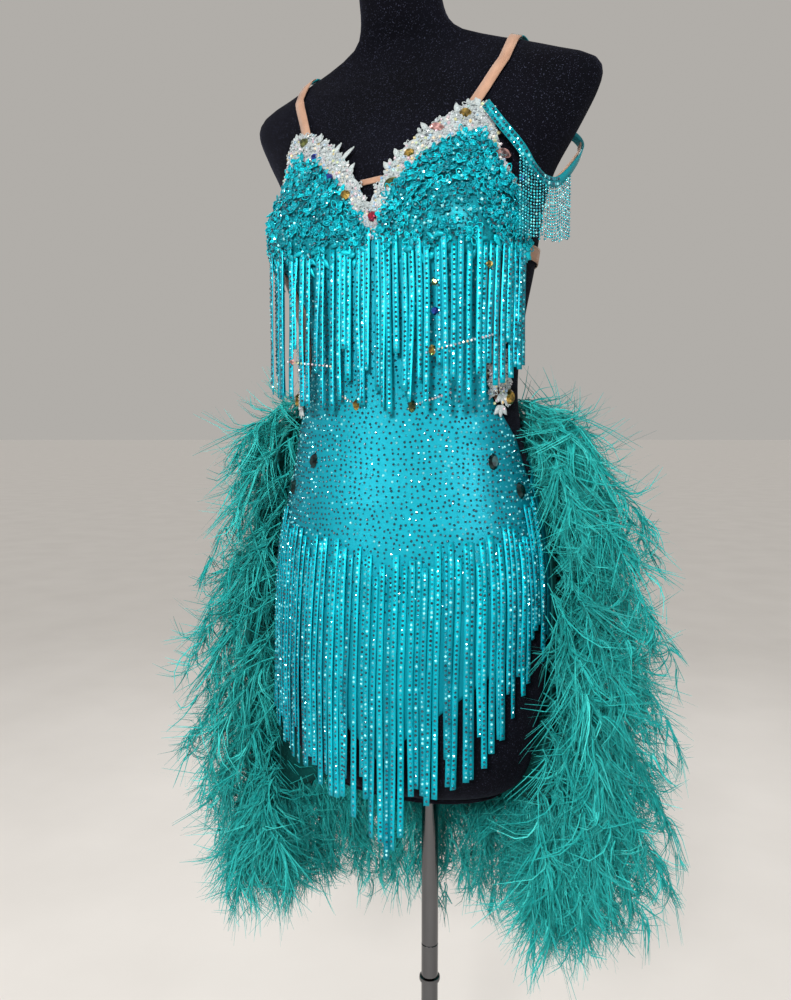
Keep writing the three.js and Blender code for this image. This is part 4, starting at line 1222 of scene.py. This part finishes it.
# name, colour, dark, and each stone: dress angle, height, long radius, stretch, layer
FEATURE_STONES = [
    ("red", (0.62, 0.04, 0.08), (0.2, 0.02, 0.05), [(1.5, 1339, 4.0, 1.0, "lace")]),
    ("gold", (0.5, 0.32, 0.06), (0.13, 0.09, 0.02), [
        (-10, 1362, 4.2, 1.0, "lace"), (15, 1396, 3.4, 1.25, "lace"), (30, 1432, 3.6, 1.3, "lace"),
        (-15, 1161, 3.0, 1.5, "cloth"), (44, 1288, 2.6, 1.0, "fringe"),
        (24, 1210, 2.8, 1.4, "fringe"), (68, 1168, 4.2, 1.5, "trim"), (-68, 1168, 4.2, 1.5, "trim")]),
    ("olive", (0.2, 0.22, 0.07), (0.05, 0.07, 0.03), [
        (-31, 1433, 3.6, 1.3, "lace"), (9, 1368, 3.2, 1.9, "lace"), (13, 1159, 3.2, 1.5, "cloth"),
        (25, 1272, 2.6, 1.0, "fringe")]),
    ("blue", (0.04, 0.09, 0.5), (0.01, 0.02, 0.18), [
        (-18, 1384, 3.4, 1.1, "lace"), (-26, 1412, 2.6, 1.2, "lace"), (25, 1246, 2.8, 1.0, "fringe"),
        (62, 1372, 3.0, 1.2, "lace")]),
    ("rose", (0.75, 0.42, 0.4), (0.3, 0.14, 0.14), [
        (22, 1420, 3.2, 1.9, "lace"), (51, 1392, 3.8, 1.5, "lace"), (-34, 1205, 2.4, 1.3, "fringe")]),
    ("smoke", (0.004, 0.035, 0.035), (0.001, 0.008, 0.01), [
        (-41, 1104, 4.4, 1.5, "cloth"), (-60, 1074, 4.4, 1.5, "cloth"), (52, 1105, 4.4, 1.5, "cloth"),
        (66, 1076, 4.4, 1.5, "cloth")]),
]
FEATURE_SIZE = 1.3
FEATURE_LIFT = {"lace": SECOND_LAYER + 2.6, "cloth": FIRST_LAYER + CLOTH + 0.2, "trim": SECOND_LAYER + 2.2,
                "fringe": SECOND_LAYER + 3.9}


def make_feature_stones():
    rng = np.random.default_rng(61)
    for name, colour, dark, places in FEATURE_STONES:
        soup = Soup()
        for angle, height, radius, stretch, layer in places:
            place = [np.array([float(v)]) for v in (angle, height, FEATURE_LIFT[layer])]
            if layer == "fringe":
                place.insert(2, np.array([float(BUST_FRINGE_TOP)]))
            point, normal = (hung_on_dress if layer == "fringe" else on_dress)(*place)
            turn = math.pi / 2 if stretch > 1.35 and layer != "lace" else rng.uniform(-0.6, 0.6)
            add_stones(soup, point, normal, radius * FEATURE_SIZE, rng, sides=10, rise=0.65,
                       stretch=stretch, tilt=0.05, turn=turn)
        material = jewel_material(f"jewel_{name}", colour, dark)
        make_piece(f"feature_stones_{name}", soup, material, smooth=False)


# ---- Straps and the arm drape -------------------------------------------------------------

STRAP_WIDTH = 11
STRAP_X_CUP, STRAP_X_SHOULDER = 96, 118
STRAP_START, STRAP_BEND = 1447, 1490


def shoulder_height(half_width):
    heights = np.linspace(1475, 1550, 1501)
    widths = smooth_column(FORM_SECTIONS, 1, heights)
    return float(heights[np.argmax(widths <= half_width)])


def strap_route(sign):
    """Stations (angle, height) up the chest, over the shoulder and down the back."""
    def angle_at(x, z):
        half_width = float(smooth_column(FORM_SECTIONS, 1, np.array(float(z))))
        return math.degrees(math.asin(x / half_width))

    front = []
    for z in np.arange(STRAP_START - 8, STRAP_BEND, 6.0):
        share = (z - STRAP_START) / (STRAP_BEND - STRAP_START)
        front.append((angle_at(STRAP_X_CUP + (STRAP_X_SHOULDER - STRAP_X_CUP) * share, z), z))
    top = [(d, shoulder_height(STRAP_X_SHOULDER / math.sin(math.radians(d)))) for d in range(42, 139, 4)]
    back = [(180 - angle_at(STRAP_X_SHOULDER, z), z) for z in np.arange(1480, 1305, -9.0)]
    stations = np.array(front + top + back, float)
    stations[:, 0] *= sign
    return stations, len(front)


def make_straps():
    for side, sign in SIDES:
        stations, front = strap_route(sign)
        normal = form_normal(stations[:, 0], stations[:, 1])
        route = form_point(stations[:, 0], stations[:, 1]) + normal * (FIRST_LAYER + 1.3)
        route[:4] += normal[:4] * np.array([1.6, 1.2, 0.7, 0.3])[:, None]
        split = front + 8
        parts = [
            ("front", slice(0, split), NUDE, "nude"), ("back", slice(split, None), TEAL_ELASTIC, "stretch")]
        for name, part, material, slot in parts:
            soup = Soup()
            across, out = frame_along(route[part], normal[part])
            add_ribbon(soup, route[part], across, out, np.full(len(across), STRAP_WIDTH), CLOTH)
            make_piece(f"strap_{name}_elastic_{side}", soup, material, [f"strap_{name}_{side}"])


ARM_BAND_ROUTE = [
    (112, -120, 1437), (129, -121, 1415), (145, -116, 1394), (152, -105, 1379), (158, -86, 1371),
    (163, -58, 1376), (168, -24, 1400), (166, 8, 1424), (150, 30, 1446), (124, 34, 1462),
]
ARM_AXIS = np.array([120.0, -45.0, 0.0])
ARM_BAND_WIDTH = 9
ARM_FRINGE_BOTTOM = 1315


def arm_facing(points):
    return unit((points - ARM_AXIS) * np.array([1, 1, 0]))


ARM_INNER_STRETCH = slice(22, 48)


def make_arm_elastics(route, facing, across, out):
    soup = Soup()
    add_ribbon(soup, route, across, out, np.full(len(route), ARM_BAND_WIDTH), CLOTH, 0.7)
    make_piece("arm_band_cloth", soup, TEAL_ELASTIC, ["arm_band"])
    soup = Soup()
    inner_facing = facing[ARM_INNER_STRETCH]
    inner = route[ARM_INNER_STRETCH] - inner_facing * 3.2 + np.array([0, 0, 1.0])
    inner_across, inner_out = frame_along(inner, inner_facing)
    add_ribbon(soup, inner, inner_across, inner_out, np.full(len(inner), ARM_BAND_WIDTH - 2), CLOTH)
    make_piece("arm_inner_elastic", soup, NUDE, ["arm_elastic"])


def make_arm_drape():
    """The band round the upper arm, two rows of stones on its front, and strands of small beads."""
    rng = np.random.default_rng(71)
    route = smooth_route(ARM_BAND_ROUTE, 60)
    facing = arm_facing(route)
    across, out = frame_along(route, facing)
    make_arm_elastics(route, facing, across, out)
    lengths = np.r_[0, np.cumsum(np.linalg.norm(np.diff(route, axis=0), axis=1))]

    soup = Soup()
    for shift in (-2.2, 2.2):
        at = np.arange(2, lengths[33], 4.2)
        side, face = read_off(at, lengths, across), read_off(at, lengths, out)
        add_stones(soup, read_off(at, lengths, route) + side * shift + face * 1.05, unit(face), 1.8, rng,
                   tones=rng.uniform(0.2, 1, len(at)), tilt=0.2, rise=0.7)
    make_piece("arm_band_stones", soup, TEAL_STONES, smooth=False)

    soup = Soup()
    starts = np.arange(lengths[13], lengths[37], 4.9)
    for k, at in enumerate(starts):
        base = read_off(at, lengths, route)
        bottom = ARM_FRINGE_BOTTOM + 12 * (k / len(starts)) ** 3 + rng.normal(0, 1.2)
        heights = np.arange(base[2] - ARM_BAND_WIDTH / 2 - 1, bottom, -2.9)
        beads = np.column_stack([np.full(len(heights), base[0]), np.full(len(heights), base[1]), heights])
        beads[:, :2] += arm_facing(base[None])[0][:2] * 0.6 + rng.normal(0, 0.18, (len(heights), 2))
        add_beads(soup, beads, 1.2, rng)
    make_piece("arm_bead_strands", soup, BEADS, ["arm_fringe"])


# a bead's outline as height and width, both as shares of its radius
BEAD_OUTLINE = [(-0.95, 0.25), (-0.45, 0.95), (0.45, 0.95), (0.95, 0.25)]
BEAD_SIDES = 6


def add_beads(soup, centres, radius, rng):
    """Small round beads, each squashed a little along its thread."""
    ring = np.arange(BEAD_SIDES) * math.pi / 3
    shape = np.concatenate([
        np.stack([w * np.cos(ring), w * np.sin(ring), np.full(BEAD_SIDES, z)], -1) for z, w in BEAD_OUTLINE])
    copies = centres[:, None] + shape[None] * radius
    soup.add_many(copies, tube_faces(len(BEAD_OUTLINE), BEAD_SIDES), rng.uniform(0, 1, len(centres)))


BEADS = stone_material("glass_beads", [
    (0.0, (0.0, 0.14, 0.18)), (0.5, (0.0, 0.34, 0.42)), (0.85, (0.0, 0.52, 0.6)),
    (1.0, (0.3, 0.85, 0.88))], 0.4)


# ---- Feathers -----------------------------------------------------------------------------

# Rows of plumes from the top of the skirt to its lowest: where they are sewn, how long, how
# steeply they leave the net (0 is level, 90 is straight down), and how far the row reaches
# round to the front, in degrees from centre front.
PLUME_ROWS = [
    (1163, 98, 10, 84), (1146, 120, 16, 83), (1122, 138, 22, 82), (1090, 150, 27, 81), (1055, 158, 31, 80),
    (1020, 162, 34, 79), (985, 165, 36, 78), (950, 168, 38, 77), (915, 170, 39, 77), (880, 172, 40, 76),
    (845, 172, 41, 75), (812, 170, 42, 74), (780, 168, 43, 72), (748, 164, 45, 71), (718, 156, 47, 70),
    (738, 190, 64, 70), (712, 175, 72, 68), (702, 170, 82, 66),
]
PLUME_SPACING = 17.0
BARBS = 100
WISP_BARBS = 4
BARB_STEPS = 5
HEM_HEIGHT = 578
SKIRT_TOP = 1168.0
FEATHER_REACH = [(-308, 300), (-203, 227)]


# angle round the skirt, how far the feathers reach as a share, and how far the hem is lifted:
# it rises from the back to the front ends of the skirt
FEATHER_ROUND = np.array([
    (64, 0.88, 64), (83, 0.98, 54), (110, 1.06, 30), (150, 0.92, -26), (180, 0.86, -34),
    (210, 0.88, -22), (250, 0.95, 4), (277, 0.9, 26), (296, 0.84, 34),
])


def round_skirt(angle, column):
    return np.interp(angle % 360, FEATHER_ROUND[:, 0], FEATHER_ROUND[:, column])


# the radius that the plumes' spacing is measured at, how far a plume droops at its tip, and how
# far it is drawn back in, as shares of its length
PLUME_ROOT_RADIUS = 165
DROOP, PULL_IN = 0.42, 0.19
SKIRT_TURN = 8


def plume_curves(rng, height, length, dip, start):
    """Quills of one row: their points, as (plumes, steps, 3)."""
    step = math.degrees(PLUME_SPACING / PLUME_ROOT_RADIUS)
    angles = np.arange(start, 360 - start, step)
    angles = angles + rng.normal(0, 1.2, len(angles))
    count = len(angles)
    turned = angles + SKIRT_TURN
    root = hanging_point(turned, np.full(count, float(height)) + rng.normal(0, 6, count), SKIRT_TOP)
    normal = unit(form_normal(turned, np.full(count, min(height, 1060.0))) * np.array([1, 1, 0]))
    root = root + normal * (NET_LAYER + 2)
    lean = rng.normal(0, 0.22, count)
    side = np.cross(np.tile([0.0, 0, 1], (count, 1)), normal)
    dips = np.radians(dip + rng.normal(0, 9, count))
    down = np.array([0, 0, -1.0])
    first = unit(normal * np.cos(dips)[:, None] + side * lean[:, None] + down * np.sin(dips)[:, None])
    reach = length * round_skirt(angles, 1) * rng.uniform(0.84, 1.1, count)
    hem = HEM_HEIGHT + round_skirt(angles, 2) + rng.normal(0, 7, count)
    reach = np.minimum(reach, (root[:, 2] - hem) / (np.sin(dips) + DROOP))
    s = np.linspace(0, 1, 9)[None, :, None]
    bend = down * (DROOP * s ** 2) - normal[:, None] * (PULL_IN * s ** 2.4)
    return root[:, None] + (first[:, None] * s + bend) * reach[:, None, None]


def interpolate_rows(rows, share):
    """Points on many curves: rows is (curves, steps, 3), share is (curves, places) from 0 to 1."""
    steps = rows.shape[1] - 1
    at = share * steps
    i = np.minimum(at.astype(int), steps - 1)
    t = (at - i)[..., None]
    low = np.take_along_axis(rows, i[..., None], 1)
    high = np.take_along_axis(rows, (i + 1)[..., None], 1)
    return low * (1 - t) + high * t


def within_reach(points):
    """Wisps that would stray past the skirt's widest reach bend back short of it."""
    for axis, (low, high) in enumerate(FEATHER_REACH):
        middle, half = (low + high) / 2, (high - low) / 2
        off = (points[..., axis] - middle) / half
        bent = np.sign(off) * (0.86 + 0.14 * np.tanh((np.abs(off) - 0.86) / 0.14))
        points[..., axis] = middle + half * np.where(np.abs(off) > 0.86, bent, off)
    return points


def add_barbs(soup, rng, curves):
    """Long loose barbs round each quill, gathered in wisps that droop and curl at their tips."""
    plumes, wisps = len(curves), BARBS // WISP_BARBS
    share = np.sort(rng.uniform(0.06, 1, (plumes, wisps)), 1)
    base = interpolate_rows(curves, share)
    beyond, behind = np.minimum(share + 0.06, 1), np.maximum(share - 0.06, 0)
    ahead = unit(interpolate_rows(curves, beyond) - interpolate_rows(curves, behind))
    aside = rng.normal(0, 1, base.shape)
    aside = unit(aside - (aside * ahead).sum(-1, keepdims=True) * ahead)
    open_out = (0.62 - 0.36 * share)[..., None]
    direction = unit(ahead * 0.7 + aside * open_out + rng.normal(0, 0.26, base.shape))
    length = 34 + 40 * np.sin(math.pi * np.clip(share * 0.85 + 0.12, 0, 1))
    length = length * rng.uniform(0.7, 1.2, share.shape)
    curl = rng.uniform(-0.7, 0.7, base.shape)
    fall = np.array([0, 0, -1.0]) * rng.uniform(0.4, 1.15, (plumes, wisps, 1))
    hook = rng.uniform(-1.15, 1.15, base.shape)
    repeat = lambda values: np.repeat(values.reshape(-1, *values.shape[2:]), WISP_BARBS, 0)
    base, direction, bend, hook, length = (repeat(v) for v in (base, direction, fall + curl, hook, length))
    count = len(base)
    stray = np.where(rng.random((count, 1)) < 0.1, 0.3, 0.09)
    base = base + rng.normal(0, 1.3, (count, 3))
    length = length * rng.uniform(0.75, 1.2, count)
    s = np.linspace(0, 1, BARB_STEPS)[None, :, None]
    shape = ((direction + rng.uniform(-1.7, 1.7, (count, 3)) * stray)[:, None] * s
             + (bend + rng.uniform(-1.7, 1.7, (count, 3)) * stray)[:, None] * s ** 2 + hook[:, None] * s ** 4)
    arc = np.linalg.norm(np.diff(shape, axis=1), axis=2).sum(1)
    spine = base[:, None] + shape * (length / arc)[:, None, None]
    along = unit(np.gradient(spine, axis=1))
    broad = rng.normal(0, 1, (count, 1, 3))
    broad = unit(broad - (broad * along).sum(-1, keepdims=True) * along)
    width = np.array([0.52, 0.55, 0.5, 0.38, 0.12])[None, :, None] * rng.uniform(0.8, 1.35, (count, 1, 1))
    points = within_reach(np.stack([spine - broad * width, spine + broad * width], 2).reshape(count, -1, 3))
    wisp_tone = np.repeat(rng.normal(0.52, 0.2, plumes * wisps), WISP_BARBS)
    tones = wisp_tone + rng.normal(0, 0.1, count) + np.repeat(rng.normal(0, 0.08, plumes), wisps * WISP_BARBS)
    soup.add_many(points, grid_faces(BARB_STEPS, 2), np.clip(tones, 0, 1))


def add_quills(soup, curves, tone):
    """Thin three-sided quills."""
    steps = curves.shape[1]
    along = unit(np.gradient(curves, axis=1))
    a = unit(np.cross(along, np.array([0.3, 0.2, 1.0])))
    b = np.cross(along, a)
    width = np.linspace(0.9, 0.3, steps)[None, :, None]
    ring = [a * math.cos(t) * width + b * math.sin(t) * width for t in (0, 2.094, 4.189)]
    points = np.stack([curves + r for r in ring], 2).reshape(len(curves), -1, 3)
    soup.add_many(points, tube_faces(steps, 3), np.full(len(curves), tone))


FEATHER_TIERS = [
    ("upper", slice(0, 5), 81), ("middle", slice(5, 10), 82),
    ("lower", slice(10, 15), 83), ("hem", slice(15, 18), 84),
]


def make_feathers():
    for tier, rows, seed in FEATHER_TIERS:
        rng = np.random.default_rng(seed)
        soup = Soup()
        for height, length, dip, start in PLUME_ROWS[rows]:
            curves = plume_curves(rng, height, length, dip, start)
            add_quills(soup, curves, 0.5)
            add_barbs(soup, rng, curves)
        sectors = ("left_side", "left_back", "right_back", "right_side") if tier != "hem" else ()
        nodes = [f"feathers_{tier}_{sector}" for sector in sectors]
        make_piece(f"feather_plumes_{tier}", soup, FEATHER, nodes)


def make_shaded_down():
    """The dense down near the net, which stops light between the barbs; its dark colour is painted shade deep
    in the plumage.
    """
    rng = np.random.default_rng(91)
    soup = Soup()
    columns, rows = 90, 50
    angle = np.linspace(88, 272, columns)[:, None] + np.zeros((1, rows))
    height = np.linspace(1150, 690, rows)[None, :] + np.zeros((columns, 1))
    lump = 7 * np.sin(angle / 5.1 + height / 37) * np.sin(height / 23 - angle / 9)
    lump = lump + rng.normal(0, 2.2, angle.shape)
    shape = np.clip((1152 - height) / 70, 0, 1) ** 0.7 * np.clip((height - 640) / 60, 0, 1) ** 0.5
    lift = NET_LAYER + 3 + (34 + lump) * shape
    add_wall(soup, angle, height, lift, 3.0, rng.uniform(0, 1, angle.shape), SKIRT_TOP)
    make_piece("feather_down_painted_shade", soup, SHADED_DOWN)


# ---- Stage and light ----------------------------------------------------------------------


def make_stage():
    bpy.ops.mesh.primitive_plane_add(size=400, location=(0, 0, 0))
    floor = bpy.context.object
    floor.name = "floor"
    shader = Shader("pale_floor")
    shader.colour(shader.ramp(shader.noise(3, 4), [(0.3, (0.725, 0.7, 0.672)), (0.7, (0.765, 0.74, 0.712))]))
    shader.set(Roughness=0.85)
    floor.data.materials.append(shader.material)


def area_light(name, azimuth, distance, height, size, power, colour=(1, 1, 1), aim=1.05):
    turn = math.radians(azimuth)
    place = Vector((math.sin(turn) * distance, -math.cos(turn) * distance, height))
    data = bpy.data.lights.new(name, "AREA")
    data.shape = "DISK"
    data.size = size
    data.energy = power
    data.color = colour
    light = bpy.data.objects.new(name, data)
    light.location = place
    light.rotation_euler = (Vector((0, 0, aim)) - place).to_track_quat("-Z", "Y").to_euler()
    bpy.context.collection.objects.link(light)


def make_light():
    bpy.context.scene.view_settings.view_transform = "Standard"
    world = bpy.data.worlds.new("studio")
    bpy.context.scene.world = world
    world.use_nodes = True
    background = world.node_tree.nodes["Background"]
    background.inputs["Color"].default_value = (0.61, 0.585, 0.55, 1)
    background.inputs["Strength"].default_value = 0.72
    area_light("key", 14, 2.0, 1.75, 0.35, 46, (1.0, 0.985, 0.96))
    area_light("fill", 75, 2.6, 1.6, 1.2, 9, (0.95, 0.98, 1.0))
    area_light("side", -62, 2.4, 1.9, 1.0, 13, (1.0, 0.99, 0.97))
    area_light("back", 200, 2.6, 2.2, 1.4, 18)
    data = bpy.data.lights.new("overhead", "SUN")
    data.energy = 0.7
    data.angle = math.radians(70)
    overhead = bpy.data.objects.new("overhead", data)
    overhead.rotation_euler = (math.radians(24), 0, math.radians(20))
    bpy.context.collection.objects.link(overhead)


# ---- Everything ---------------------------------------------------------------------------


add_camera()
make_form()
make_stand()
make_front_panel()
make_plain_cloth()
make_panel_stones()
fringes = make_fringes()
make_cup_lace()
make_edge_lace()
make_waist_crystals()
make_feature_stones()
make_straps()
make_arm_drape()
make_shaded_down()
make_feathers()
make_stage()
make_light()
